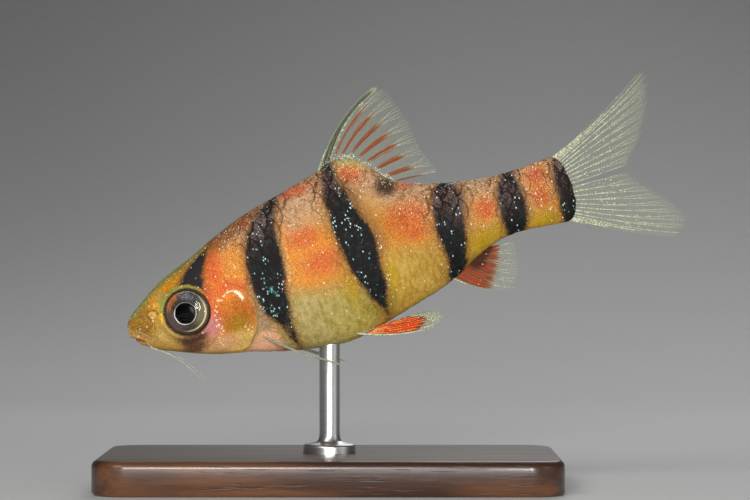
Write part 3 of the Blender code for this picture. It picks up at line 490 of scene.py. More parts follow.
def build(name, points, faces, material, slot, fields=(), uv=None, replaces=(), fish=True):
    """One piece from vertices in mm, faces as lists of arrays of corners, and fields by vertex."""
    mesh = bpy.data.meshes.new(name)
    places = to_world(points) if fish else points * MM
    arrays = [np.asarray(f, int) for f in faces if len(f)]
    if turned_inside_out(places, arrays):
        arrays = [a[:, ::-1] for a in arrays]
    corners = np.concatenate([a.ravel() for a in arrays])
    sizes = np.concatenate([np.full(len(a), a.shape[1]) for a in arrays])
    starts = np.concatenate(([0], np.cumsum(sizes)[:-1]))
    mesh.vertices.add(len(places))
    mesh.vertices.foreach_set("co", places.astype(np.float32).ravel())
    mesh.loops.add(len(corners))
    mesh.loops.foreach_set("vertex_index", corners.astype(np.int32))
    mesh.polygons.add(len(sizes))
    mesh.polygons.foreach_set("loop_start", starts.astype(np.int32))
    mesh.update(calc_edges=True)
    mesh.validate()
    for key, values in dict(fields).items():
        layer = mesh.attributes.new(key, "FLOAT_VECTOR", "POINT")
        layer.data.foreach_set("vector", np.asarray(values, np.float32).ravel())
    if uv is not None:
        layer = mesh.uv_layers.new(name="OFBake")
        layer.data.foreach_set("uv", uv[corners].astype(np.float32).ravel())
    mesh.materials.append(material)
    mesh.shade_smooth()
    obj = bpy.data.objects.new(name, mesh)
    bpy.context.scene.collection.objects.link(obj)
    if slot:
        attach(obj, "root")
    if replaces:
        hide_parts(*replaces)
    return obj


def grid_faces(rows, columns, wrap=False):
    """Quads of a grid of vertices that are counted row by row."""
    across = columns if wrap else columns - 1
    i, j = np.meshgrid(np.arange(rows - 1), np.arange(across), indexing="ij")
    k = (j + 1) % columns
    quads = [i * columns + j, i * columns + k, (i + 1) * columns + k, (i + 1) * columns + j]
    return np.stack(quads, -1).reshape(-1, 4)


def plate_faces(rows, columns):
    """Quads of a closed plate: a front and a back grid of vertices, and a wall round both."""
    size = rows * columns
    sheet = grid_faces(rows, columns)
    ring = list(range(columns))
    ring += [k * columns + columns - 1 for k in range(1, rows)]
    ring += [size - 1 - k for k in range(1, columns)]
    ring += [(rows - 1 - k) * columns for k in range(1, rows - 1)]
    ring = np.array(ring)
    following = np.roll(ring, -1)
    wall = np.stack([ring, ring + size, following + size, following], -1)
    return np.concatenate([sheet[:, ::-1], sheet + size, wall])


def fan_faces(centre, start, count, turned=False):
    """Triangles from one vertex to a closed ring of others."""
    k = np.arange(count)
    following = (k + 1) % count
    first, second = (following, k) if turned else (k, following)
    return np.stack([np.full(count, centre), start + first, start + second], -1)


def repeated(faces, number, size):
    """The same faces for each of a number of bodies with as many vertices each."""
    return (faces[None] + (np.arange(number) * size)[:, None, None]).reshape(-1, faces.shape[1])


# Nodes
class Nodes:
    """Adds nodes to a new material; what goes into a socket is a socket, a number or a colour."""

    def __init__(self, name):
        self.material = bpy.data.materials.new(name)
        self.material.use_nodes = True
        self.tree = self.material.node_tree
        self.shader = self.tree.nodes["Principled BSDF"]

    def put(self, value, socket):
        if isinstance(value, bpy.types.NodeSocket):
            self.tree.links.new(value, socket)
        elif isinstance(value, (tuple, list)) and len(value) == 3 and socket.type == "RGBA":
            socket.default_value = (*value, 1.0)
        else:
            socket.default_value = value

    def add(self, kind, inputs, output=0, **settings):
        node = self.tree.nodes.new("ShaderNode" + kind)
        for key, value in settings.items():
            setattr(node, key, value)
        for key, value in inputs.items():
            self.put(value, node.inputs[key])
        return node.outputs[output]

    def field(self, name):
        return self.add("Attribute", {}, "Vector", attribute_name=name)

    def parts(self, vector):
        node = self.tree.nodes.new("ShaderNodeSeparateXYZ")
        self.put(vector, node.inputs[0])
        return node.outputs[:]

    def math(self, operation, a, b=0.0):
        return self.add("Math", {0: a, 1: b}, operation=operation)

    def times(self, first, *others):
        for other in others:
            first = self.math("MULTIPLY", first, other)
        return first

    def larger(self, a, b):
        return self.math("MAXIMUM", a, b)

    def total(self, *terms, start=0.0):
        """The start plus each socket times its weight."""
        result = start
        for socket, weight in terms:
            result = self.add("Math", {0: socket, 1: weight, 2: result}, operation="MULTIPLY_ADD")
        return result

    def step(self, value, low, high):
        inputs = {"Value": value, "From Min": low, "From Max": high}
        return self.add("MapRange", inputs, interpolation_type="SMOOTHSTEP")

    def between(self, value, start, full, last, end):
        """1 from full to last, and 0 below start and above end."""
        return self.times(self.step(value, start, full), self.step(value, end, last))

    def mix(self, share, first, second, blend="MIX"):
        inputs = {0: share, 6: first, 7: second}
        return self.add("Mix", inputs, 2, data_type="RGBA", blend_type=blend)

    def lay(self, tone, share, most=None):
        """Lays a tone over the colour so far, by its share, times the most that it may be."""
        if most is not None:
            share = self.times(share, most)
        self.colour = self.mix(share, self.colour, tone)

    def multiply(self, shade):
        self.colour = self.mix(1.0, self.colour, shade, "MULTIPLY")

    def scaled(self, vector, scale):
        return self.add("VectorMath", {0: vector, 1: scale}, operation="MULTIPLY")

    def noise(self, vector, scale, detail=2.0, rough=0.5):
        inputs = {"Vector": vector, "Scale": scale, "Detail": detail, "Roughness": rough}
        return self.add("TexNoise", inputs)

    def cells(self, vector, scale, output="Distance", **settings):
        return self.add("TexVoronoi", {"Vector": vector, "Scale": scale}, output, **settings)

    def bump(self, height, distance, strength=1.0):
        return self.add("Bump", {"Height": height, "Distance": distance, "Strength": strength})

    def finish(self, **inputs):
        for key, value in inputs.items():
            self.put(value, self.shader.inputs[key.replace("_", " ")])
        return self.material


def skin_sockets(n):
    """Reads the numbers of the vertices, and makes grains of several sizes."""
    n.place = n.field("place")
    n.onward = n.parts(n.place)[0]
    n.inside, n.behind, n.depth = n.parts(n.field("zone_a"))
    n.red, n.orange, n.yellow = n.parts(n.field("zone_b"))
    n.cream, n.band, n.dark_patch = n.parts(n.field("zone_c"))
    n.white, n.sparkle, n.scaly = n.parts(n.field("zone_d"))
    n.level, n.nape, n.dorsal_base = n.parts(n.field("zone_e"))
    n.dash, n.pale_edge, n.snout = n.parts(n.field("zone_f"))
    n.low_bar, n.rust, n.shaded = n.parts(n.field("zone_g"))
    n.rim, n.across, n.chance = n.parts(n.field("scale"))
    n.grain_a, n.grain_b, n.grain_c = (
        n.step(n.noise(n.place, scale, 2.0, 0.6), 0.34, 0.66) for scale in (12.0, 15.5, 8.5)
    )
    n.fine = n.noise(n.place, 10.0, 2.0, 0.6)
    n.mid = n.noise(n.place, 2.4, 3.0, 0.6)
    n.broad = n.noise(n.place, 0.9, 2.0)
    n.streak = n.noise(n.scaled(n.place, (2.6, 2.6, 0.55)), 1.0, 3.0, 0.65)
    n.jitter = n.total((n.grain_a, 0.35), (n.fine, 0.9), (n.mid, 0.6), (n.broad, 0.35), start=-1.1)
    n.upper = n.step(n.depth, 5.5, 1.5)


def grained(n, zone, amount, width):
    """A zone whose rim breaks up into grains."""
    return n.step(n.total((zone, 1.0), (n.jitter, amount)), 0.5 - width, 0.5 + width)


def lay_flank(n):
    """Mottled back, orange and red fields, and the dull nape."""
    back = n.step(n.total((n.depth, 1.0), (n.jitter, 2.5)), 4.2, 0.4)
    n.back = n.times(back, n.scaly, n.step(n.dorsal_base, 0.75, 0.25))
    dark = n.mix(n.step(n.onward, 24.0, 29.0), (0.20, 0.065, 0.022), (0.32, 0.16, 0.05))
    n.lay(n.mix(n.step(n.mid, 0.36, 0.60), dark, (0.70, 0.43, 0.26)), n.back, 0.75)
    orange = n.mix(n.grain_b, (0.90, 0.21, 0.010), (0.80, 0.33, 0.035))
    n.lay(orange, grained(n, n.orange, 0.6, 0.4), 0.9)
    red = n.mix(n.grain_c, (0.64, 0.065, 0.022), (0.70, 0.16, 0.04))
    n.lay(red, grained(n, n.red, 0.7, 0.35), 0.88)
    n.lay((0.90, 0.48, 0.17), grained(n, n.pale_edge, 0.6, 0.4), 0.6)
    n.lay((0.24, 0.075, 0.022), grained(n, n.nape, 0.7, 0.4), 0.8)


def lay_belly(n):
    """Pale belly with faint upright folds, yellower towards the tail."""
    folds = n.step(n.streak, 0.36, 0.62)
    belly = n.mix(folds, (0.36, 0.28, 0.065), (0.56, 0.45, 0.18))
    belly = n.mix(n.times(n.step(n.broad, 0.45, 0.7), 0.5), belly, (0.50, 0.40, 0.19))
    rear = n.mix(folds, (0.46, 0.24, 0.04), (0.62, 0.37, 0.11))
    belly = n.mix(n.times(n.step(n.onward, 20.5, 23.5), 0.85), belly, rear)
    n.lay(belly, grained(n, n.cream, 0.75, 0.4), 0.92)
    yellow = n.mix(n.grain_a, (0.56, 0.38, 0.008), (0.54, 0.27, 0.008))
    n.lay(yellow, grained(n, n.yellow, 0.6, 0.4), 0.8)
    n.lay((0.20, 0.17, 0.03), grained(n, n.low_bar, 0.7, 0.4), 0.7)
    n.lay((0.32, 0.13, 0.06), grained(n, n.rust, 0.8, 0.5), 0.6)


def shade_flesh(n):
    """Grains that lighten and darken the flesh, painted shade towards the tail and in the SHADED
    patches, whitish on the upper flank and olive on the head.
    """
    pebbled = n.step(n.total((n.fine, 0.7), (n.grain_b, 0.3)), 0.3, 0.72)
    rough = n.total((n.step(n.cream, 0.4, 0.8), -0.35), (n.snout, 0.55), start=0.74)
    shade = n.times(n.total((pebbled, 1.0), start=-0.5), rough)
    shade = n.total((shade, 1.0), (n.mid, 0.5), start=0.76)
    # painted shade: darker towards the tail and in the SHADED patches
    rearward = n.step(n.onward, 20.0, 34.0)
    shade = n.total((shade, 1.0), (rearward, -0.12), (n.step(n.shaded, 0.2, 0.8), -0.12))
    n.multiply(shade)
    warmth = n.times(n.step(n.depth, 1.5, 4.5), n.step(n.onward, 15.0, 20.0))
    n.multiply(n.mix(warmth, (1.0, 1.0, 1.0), (0.97, 0.97, 0.62)))
    pale = n.step(n.total((n.fine, 0.75), (n.grain_c, 0.35)), 0.62, 0.82)
    pale_tone = n.mix(n.upper, (0.95, 0.58, 0.12), (0.88, 0.60, 0.40))
    n.lay(pale_tone, pale, n.total((n.times(n.upper, n.scaly), 0.58), start=0.18))
    olive = n.mix(n.step(n.grain_b, 0.4, 0.9), (0.13, 0.145, 0.012), (0.46, 0.52, 0.14))
    n.lay(olive, grained(n, n.band, 0.5, 0.25), 0.9)


def lay_outlines(n):
    """Outlines of the scales, pale rims that are partly painted highlight, a brown net behind each bar,
    and the pores of the lateral line.
    """
    edge = n.times(n.step(n.rim, 0.13, 0.02), n.scaly)
    uneven_rim = n.total((n.rim, 1.0), (n.mid, 0.35), (n.fine, 0.25), start=-0.3)
    n.net_edge = n.times(n.step(uneven_rim, 0.24, 0.08), n.scaly)
    near_bar = n.times(n.step(n.inside, -2.0, -0.5), n.step(n.depth, 7.0, 2.0))
    share = n.total((n.times(near_bar, n.step(n.mid, 0.4, 0.6)), 0.6), (n.back, 0.2))
    n.lay((0.085, 0.04, 0.018), edge, share)
    # pale scale rims, partly pale colour and partly painted highlight
    pale_rim_highlight = n.times(n.step(n.rim, 0.16, 0.05), n.scaly, n.step(n.back, 0.6, 0.1))
    n.lay((0.95, 0.66, 0.28), pale_rim_highlight, 0.09)
    beside = n.times(n.step(n.behind, 1.6, 0.3), n.step(n.inside, -1.7, -0.3))
    beside = n.times(beside, n.step(n.depth, 5.0, 2.5))
    n.lay((0.06, 0.03, 0.018), n.times(n.net_edge, beside), 0.85)
    net = n.step(n.cells(n.place, 1.9, feature="DISTANCE_TO_EDGE"), 0.13, 0.03)
    net = n.times(net, n.step(n.behind, 1.2, 0.0), n.step(n.inside, -1.6, -0.2))
    n.lay((0.17, 0.065, 0.025), net, 0.5)
    beat = n.math("SINE", n.times(n.onward, 2 * math.pi / SCALE_STEP))
    pores = n.times(n.step(n.level, 0.10, 0.03), n.step(beat, -0.4, 0.5), n.scaly)
    n.lay((0.85, 0.55, 0.22), pores, 0.5)


def lay_bars(n):
    """The bars, frayed at their edges and mottled towards the back, with a painted blue-green sheen, and
    the two dark spots.
    """
    frayed = n.total((n.inside, 1.0), (n.jitter, 0.6), (n.streak, 0.5), start=-0.25)
    n.bar = n.step(frayed, -0.17, 0.17)
    rusty = n.mix(n.grain_b, (0.22, 0.085, 0.02), (0.34, 0.15, 0.035))
    n.lay(rusty, n.step(frayed, -0.45, -0.05), 0.6)
    # painted sheen: blue-green in the trunk's bars and grey in the eye bar
    painted_sheen = n.mix(n.step(n.mid, 0.5, 0.68), (0.007, 0.009, 0.011), (0.010, 0.026, 0.028))
    painted_sheen = n.mix(n.scaly, (0.020, 0.022, 0.024), painted_sheen)
    core = n.total((n.chance, 0.2), (n.mid, 1.0), (n.fine, 1.1), (n.net_edge, -0.4))
    grey = n.mix(n.step(core, 1.0, 1.5), (0.018, 0.012, 0.012), (0.24, 0.16, 0.14))
    top_part = n.step(n.total((n.depth, 1.0), (n.mid, 3.5), start=-1.8), 4.8, 1.2)
    n.lay(n.mix(n.times(top_part, n.scaly), painted_sheen, grey), n.bar, 0.98)
    under_eye = n.mix(n.step(n.grain_b, 0.4, 0.8), (0.035, 0.012, 0.009), (0.16, 0.075, 0.07))
    fin_spot = n.mix(n.step(n.grain_b, 0.4, 0.9), (0.012, 0.007, 0.005), (0.13, 0.075, 0.05))
    n.lay(n.mix(n.scaly, under_eye, fin_spot), grained(n, n.dark_patch, 1.0, 0.3), 0.92)


def glint_density(n):
    """The chance of a painted glint: highest in upright rows inside the bars."""
    string = n.between(n.rim, 0.22, 0.36, 0.70, 0.95)
    string = n.times(string, n.step(n.across, 0.95, 0.6), n.step(n.chance, 0.25, 0.45))
    string = n.times(string, n.step(n.onward, 31.0, 25.0))
    in_bar = n.total((n.times(string, n.step(n.depth, 1.6, 3.2)), 0.62), start=0.06)
    patches = n.noise(n.scaled(n.place, (0.9, 0.9, 0.5)), 1.0, 1.0)
    density = n.times(n.bar, in_bar, n.step(patches, 0.35, 0.5))
    for zone, most in (
        (n.step(n.sparkle, 0.3, 0.8), 0.7),
        (n.step(n.band, 0.3, 0.8), 0.35),
        (n.step(n.depth, 1.0, 0.1), 0.45),
        (n.step(n.dorsal_base, 0.3, 0.8), 0.6),
        (n.times(n.nape, n.scaly), 0.35),
        (n.snout, 0.1),
    ):
        density = n.larger(density, n.times(zone, most))
    return n.larger(density, n.total((n.times(n.upper, n.scaly), 0.05), start=0.02))


def lay_specks(n):
    """Painted glints: silver, turquoise and golden specks, beads on the cheek, and the white arc behind
    the eye.
    """
    # Painted glints: bright specks laid into the colour; the finish below also makes them smoother and
    # shinier
    rows = n.scaled(n.place, (6.0, 6.0, 3.6))
    dot = n.step(n.cells(rows, 1.0), 0.45, 0.18)
    chance, hue, warm_hue = n.parts(n.cells(rows, 1.0, "Color"))
    chosen = n.math("GREATER_THAN", n.total((chance, 1.0), (glint_density(n), 1.0)), 1.0)
    n.lit = n.times(dot, chosen)
    cold = n.mix(n.step(hue, 0.1, 0.5), (0.18, 0.66, 0.64), (0.85, 1.0, 1.0))
    warm = n.mix(warm_hue, (0.95, 0.74, 0.34), (1.0, 0.95, 0.80))
    fringe = n.mix(n.step(n.depth, 0.9, 0.3), (0.95, 0.78, 0.36), (0.72, 0.84, 0.42))
    warm = n.mix(n.step(n.dorsal_base, 0.2, 0.6), warm, fringe)
    n.lay(n.mix(n.bar, warm, cold), n.lit, 0.95)
    # painted glint: the turquoise dash in the first bar
    n.lay((0.25, 0.95, 0.85), n.dash, n.step(n.fine, 0.3, 0.6))
    # painted glints: beads on the cheek
    cheek_glints = n.total((n.cells(n.place, 3.4), 1.0), (n.fine, 0.6), start=-0.3)
    cheek_glints = n.times(n.step(cheek_glints, 0.42, 0.22), n.step(n.sparkle, 0.25, 0.5))
    n.lay((1.0, 0.88, 0.60), n.times(cheek_glints, n.step(n.scaly, 1.0, 0.5)), 0.95)
    # painted glints: the white arc behind the eye
    arc = n.step(n.total((n.white, 1.0), (n.jitter, 0.9)), 0.42, 0.8)
    n.lay((1.0, 0.90, 0.66), arc, 0.95)


def skin_material():
    """Living skin: grains of pigment over the under-colours, painted shade, dark bars, and specks of
    silver painted as glints.
    """
    n = Nodes("barb_skin")
    skin_sockets(n)
    n.colour = n.field("tint")
    lay_flank(n)
    lay_belly(n)
    shade_flesh(n)
    lay_outlines(n)
    lay_bars(n)
    lay_specks(n)
    rings = n.times(n.math("SINE", n.times(n.rim, 70.0)), n.scaly)
    height = n.total((n.fine, 1.0), (rings, 0.05), (n.cells(n.place, 5.0), 0.5))
    return n.finish(
        Base_Color=n.colour, Normal=n.bump(height, 0.00003, 0.8),
        Roughness=n.total((n.fine, 0.2), (n.lit, -0.15), (n.bar, 0.05), start=0.34),
        Specular_IOR_Level=n.total((n.bar, -0.06), (n.lit, 0.3), start=0.11),
        Subsurface_Weight=0.12, Subsurface_Radius=(0.9, 0.35, 0.15), Subsurface_Scale=0.0006,
    )


# The skin
AROUND = 216
SKIN_DEPTH = 0.09
HEAD_DEPTH = 0.02
NO_SCALE = (1.0, 1.0, 0.5)
UV_LENGTH = 43.0
UV_PATCH = 0.02


def relief(points, angle):
    """How far the skin stands out from the plain body, in mm."""
    x, z = points[..., 0], points[..., 2]
    ahead = line_distance(x, z, GILL_LINE)
    eye_r = np.hypot(x - EYE[0], z - EYE[1])
    flank = smoothstep(1.9, 0.9, z) * smoothstep(0.12, 0.5, np.abs(angle - math.pi))
    out = -HEAD_DEPTH - (SKIN_DEPTH - HEAD_DEPTH) * smoothstep(0.4, -0.8, ahead)
    plate = smoothstep(0.0, 0.16, ahead) * (1 - 0.75 * smoothstep(0.3, 2.6, ahead))
    out = out + 0.15 * plate * flank
    out = out - 0.13 * np.exp(-(((ahead + 0.12) / 0.16) ** 2)) * flank
    cheek = line_distance(x, z, PREOPERCLE)
    on_cheek = flank * smoothstep(-4.2, -3.4, z)
    out = out - 0.07 * np.exp(-((cheek / 0.13) ** 2)) * on_cheek
    out = out + 0.06 * np.exp(-(((cheek - 0.3) / 0.25) ** 2)) * on_cheek
    out = out + 0.09 * np.exp(-(((eye_r - 2.3) / 0.22) ** 2))
    out = out - 0.09 * np.exp(-(((eye_r - 2.85) / 0.3) ** 2)) * smoothstep(1.4, 0.2, z)
    near = np.hypot((x - NOSTRIL[0]) / 0.44, (z - NOSTRIL[1]) / 0.35)
    pit = np.hypot(x - NOSTRIL[0] + 0.5, z - NOSTRIL[1] + 0.06)
    out = out + 0.12 * np.exp(-(near**4)) - 0.16 * np.exp(-((pit / 0.15) ** 2))
    gape = np.abs(line_distance(x, z, MOUTH))
    front = smoothstep(1.5, 0.8, x)
    out = out + 0.10 * front * np.exp(-(((gape - 0.24) / 0.15) ** 2))
    out = out - 0.20 * front * np.exp(-((gape / 0.07) ** 2))
    out = out + 0.12 * np.exp(-(np.hypot((x - 10.95) / 0.5, (z + 4.35) / 0.4) ** 2))
    socket = 1 - smoothstep(1.95, SOCKET, eye_r)
    return out - 1.1 * socket


def skin_stations():
    """Places of the skin's rings along the fish, close together on the head."""
    nose = NOSE[0] + np.linspace(0.0, math.sqrt(2.0 - NOSE[0]), 58)[1:] ** 2
    middle = np.arange(2.066, 12.0, 0.066)
    rear = np.arange(12.1, STEM_END["x"], 0.155)
    end = STEM_END["x"] + STEM_END["long"] * np.sin(np.linspace(0.0, math.pi / 2, 14)[:-1])
    return np.concatenate([nose, middle, rear, end])


def make_skin(material):
    xs = skin_stations()
    angles = np.arange(AROUND) * 2 * math.pi / AROUND
    x, angle = np.meshgrid(xs, angles, indexing="ij")
    base = section(x, angle)
    points = base + outward(x, angle) * relief(base, angle)[..., None]
    rows = len(xs)
    tail_x = STEM_END["x"] + STEM_END["long"] * 0.99
    ends = np.array([(NOSE[0] + HEAD_DEPTH, 0.0, NOSE[1]), (tail_x, 0.0, STEM_END["z"])])
    flat = np.concatenate([points.reshape(-1, 3), ends])
    nose, tail = rows * AROUND, rows * AROUND + 1
    faces = [
        grid_faces(rows, AROUND, wrap=True),
        fan_faces(nose, 0, AROUND, turned=True),
        fan_faces(tail, (rows - 1) * AROUND, AROUND),
    ]
    fields = zones(flat)
    fields["place"] = flat
    fields["scale"] = np.tile(NO_SCALE, (len(flat), 1))
    u = np.concatenate([np.repeat((xs - NOSE[0]) / UV_LENGTH, AROUND), (0.0, 0.96)])
    v = np.concatenate([np.tile(np.abs(angles - math.pi) / math.pi, rows), (0.5, 0.5)])
    right = np.concatenate([np.tile(angles < math.pi, rows), (True, True)])
    uv_up = np.where(right, 0.5 + 0.48 * (1 - v), 0.02 + 0.46 * (1 - v))
    uv = np.stack([0.01 + 0.98 * u, uv_up], -1)
    nodes = ("head", "torso", "tail_stem", "gill_cover_left", "gill_cover_right")
    return build("skin", flat, faces, material, "skin", fields, uv, nodes)


# Scales
SCALE_STEP = 1.3
SCALE_ROWS = range(-8, 9)
SCALE_COLUMNS = range(-2, 25)
SCALE_START = 10.4
SCALE_SPAN = (8.6, 40.3)
SCALE_LONG = 1.75
SCALE_SUNK = 0.62
SCALE_CELLS = 11
PITCH = ((9.0, 1.25), (13.0, 1.5), (22.0, 1.5), (30.0, 1.2), (38.0, 0.92), (41.5, 0.85))
SCALE_THICK = 0.03
pitch_at = smooth_curve(PITCH)


class Around:
    """Turns a distance up or down the flank from the lateral line into an angle of the section."""

    def __init__(self):
        self.xs = np.linspace(7.0, 40.69, 240)
        self.angles = np.linspace(-0.7, math.pi + 0.7, 900)
        x, angle = np.meshgrid(self.xs, self.angles, indexing="ij")
        path = section(x, angle)
        steps = np.linalg.norm(np.diff(path, axis=1), axis=-1)
        self.length = np.concatenate([np.zeros((len(self.xs), 1)), np.cumsum(steps, axis=1)], axis=1)
        right = path[:, :, 1] > 0
        off = np.where(right, np.abs(path[:, :, 2] - lateral_at(x)), 99.0)
        self.middle = self.length[np.arange(len(self.xs)), off.argmin(axis=1)]
        self.top = self.length_to(0.0) - self.middle
        self.bottom = self.length_to(math.pi) - self.middle

    def length_to(self, angle):
        return np.array([np.interp(angle, self.angles, row) for row in self.length])

    def extent(self, x):
        """Distances from the lateral line up to the ridge and down to the belly's middle."""
        return -np.interp(x, self.xs, self.top), np.interp(x, self.xs, self.bottom)

    def angle(self, x, up):
        """The angle at a distance up the right flank from the lateral line."""
        at = np.clip((x - self.xs[0]) / (self.xs[1] - self.xs[0]), 0, len(self.xs) - 1.001)
        low = at.astype(int)
        part = at - low
        found = []
        for row in (low, low + 1):
            wanted = self.middle[row] - up
            out = np.empty(np.shape(x))
            for r in np.unique(row):
                here = row == r
                out[here] = np.interp(wanted[here], self.length[r], self.angles)
            found.append(out)
        return found[0] * (1 - part) + found[1] * part


def scale_places(around, random):
    """Centres of the scales of one flank as (x, distance up, row, length)."""
    places = []
    for row in SCALE_ROWS:
        shift = 0.5 * (row % 2)
        for column in SCALE_COLUMNS:
            x = SCALE_START + (column + shift) * SCALE_STEP
            if not SCALE_SPAN[0] <= x <= SCALE_SPAN[1]:
                continue
            up = row * pitch_at(x)
            top, bottom = around.extent(x)
            if up > top + 0.1 * pitch_at(x) or -up > bottom + 0.1 * pitch_at(x):
                continue
            angle = around.angle(np.array([x]), np.array([up]))
            place = section(np.array([x]), angle)[0]
            ahead = line_distance(place[0], place[2], GILL_LINE)
            if ahead > (-0.15 if place[2] < 1.3 else 0.3):
                continue
            places.append((x, up, row, 1.0 + 0.04 * random.normal(), random.random()))
    return np.array(places)


def scale_sheets(around, spots):
    """Outer and inner sheet and marks of the right flank's scales, and the middle of each."""
    u = np.sin(np.linspace(0.0, math.pi / 2, SCALE_CELLS + 1))[None, :, None]
    v = np.sin(np.linspace(-math.pi / 2, math.pi / 2, SCALE_CELLS + 1))[None, None, :]
    x0, up0, row, size, chance = (spots[:, k, None, None] for k in range(5))
    half = 0.98 * pitch_at(x0) * size
    long = SCALE_LONG * SCALE_STEP * size
    round_off = 0.72 * half
    reach = long - round_off * (1 - np.sqrt(np.maximum(1 - v * v, 0.0)))
    run = u * reach
    x = np.clip(x0 + run - SCALE_SUNK * long, 7.2, STEM_END["x"] + STEM_END["long"] * 0.985)
    slope = row * (pitch_at(x0 + 0.5) - pitch_at(x0 - 0.5))
    up = up0 + v * half + slope * (run - SCALE_SUNK * long)
    angle = around.angle(x.ravel(), np.broadcast_to(up, x.shape).ravel()).reshape(x.shape)
    base = section(x, angle)
    normal = outward(x, angle)
    lift = -0.08 + 0.078 * (run / long) ** 1.1 - 0.012 * v * v
    crown = 0.008 * np.exp(-((v / 0.35) ** 2)) * np.sin(math.pi * u)
    lift = (lift + crown) * (1 - 0.5 * smoothstep(39.0, 40.5, x))
    outer = base + normal * lift[..., None]
    inner = base + normal * (lift - SCALE_THICK * (1 - 0.55 * u))[..., None]
    marks = np.stack(np.broadcast_arrays((1 - u) * reach, np.abs(v), chance), -1)
    middle = (SCALE_CELLS + 1) // 2
    return outer, inner, marks, base[:, middle, middle, 0], angle[:, middle, middle]


def scale_uv(middle_x, middle_angle):
    """A small patch of the flat image for each scale, about the scale's place on the flank."""
    across = np.linspace(-math.pi / 2, math.pi / 2, SCALE_CELLS + 1)
    along = np.linspace(0.0, math.pi / 2, SCALE_CELLS + 1)
    u = 0.01 + 0.98 * (middle_x - NOSE[0]) / UV_LENGTH
    v = 0.05 + 0.9 * middle_angle / math.pi
    u = u[:, None] + UV_PATCH * (np.sin(along)[None, :] - 0.5)
    v = v[:, None] + UV_PATCH * np.sin(across)[None, :]
    return np.stack(np.broadcast_arrays(u[:, :, None], v[:, None, :]), -1)


def both_sheets(outer, inner):
    """Rows of numbers of the outer and the inner sheet, one scale after the other."""
    number, width = len(outer), outer.shape[-1]
    rows = [outer.reshape(number, -1, width), inner.reshape(number, -1, width)]
    return np.concatenate(rows, axis=1).reshape(-1, width)


def make_scales(material):
    """Overlapping plates in rows along the flank, each sunk at its root and free at its rear edge."""
    around = Around()
    random = np.random.default_rng(5)
    count = SCALE_CELLS + 1
    for side, word in ((1, "right"), (-1, "left")):
        spots = scale_places(around, random)
        outer, inner, marks, middle_x, middle_angle = scale_sheets(around, spots)
        flat = both_sheets(outer, inner) * (1, side, 1)
        uv = scale_uv(middle_x, middle_angle)
        fields = zones(flat)
        fields["place"] = flat
        fields["scale"] = both_sheets(marks, marks)
        faces = repeated(plate_faces(count, count), len(spots), 2 * count * count)
        build("scales_" + word, flat, [faces], material, "skin", fields, both_sheets(uv, uv))


# Eyes
def polar(profile, around):
    """Rings of points round z from (radius, height) pairs, the first one at radius 0."""
    turn = np.arange(around) * 2 * math.pi / around
    radius, height = np.array(profile[1:]).T[:, :, None]
    rings = [radius * np.cos(turn), radius * np.sin(turn), height + 0 * turn]
    rings = np.stack(rings, -1).reshape(-1, 3)
    centre = np.array([[0.0, 0.0, profile[0][1]]])
    faces = [grid_faces(len(radius), around, wrap=True), fan_faces(len(rings), 0, around)]
    return np.concatenate([rings, centre]), faces


def eye_place(points, side):
    """Points about the eye's own axis, moved to the left (-1) or right (1) side of the head."""
    axis = np.array([
        -math.sin(EYE_FORWARD_TURN),
        side * math.cos(EYE_FORWARD_TURN) * math.cos(EYE_UP_TURN),
        math.sin(EYE_UP_TURN),
    ])
    axis /= np.linalg.norm(axis)
    level = np.array([1.0, 0.0, 0.0]) - axis * axis[0]
    level /= np.linalg.norm(level)
    up = np.cross(level, axis) * side
    spun = points[:, :1] * level + points[:, 1:2] * up + points[:, 2:] * axis
    return spun * EYE_SIZE + np.array([EYE[0] + EYE_SHIFT, side * EYE_LEVEL, EYE[1]])


def iris_profile():
    """Half section of the eyeball: lens, silver ring, sloping iris and dark rim, then its back."""
    profile = []
    for r in np.linspace(0.0, 2.1, 85):
        if r < PUPIL:
            height = 0.74 + 0.13 * math.sqrt(1 - (r / PUPIL) ** 2)
        else:
            height = 0.80 - 0.26 * ((r - PUPIL) / 1.12) ** 1.7
        height += 0.035 * math.exp(-(((r - 1.05) / 0.06) ** 2))
        height -= 0.05 * math.exp(-(((r - 1.95) / 0.05) ** 2))
        profile.append((r, height))
    profile += [(2.11, 0.45), (2.06, 0.25), (1.9, -0.2), (1.6, -0.7), (1.0, -1.05), (0.4, -1.15)]
    return profile


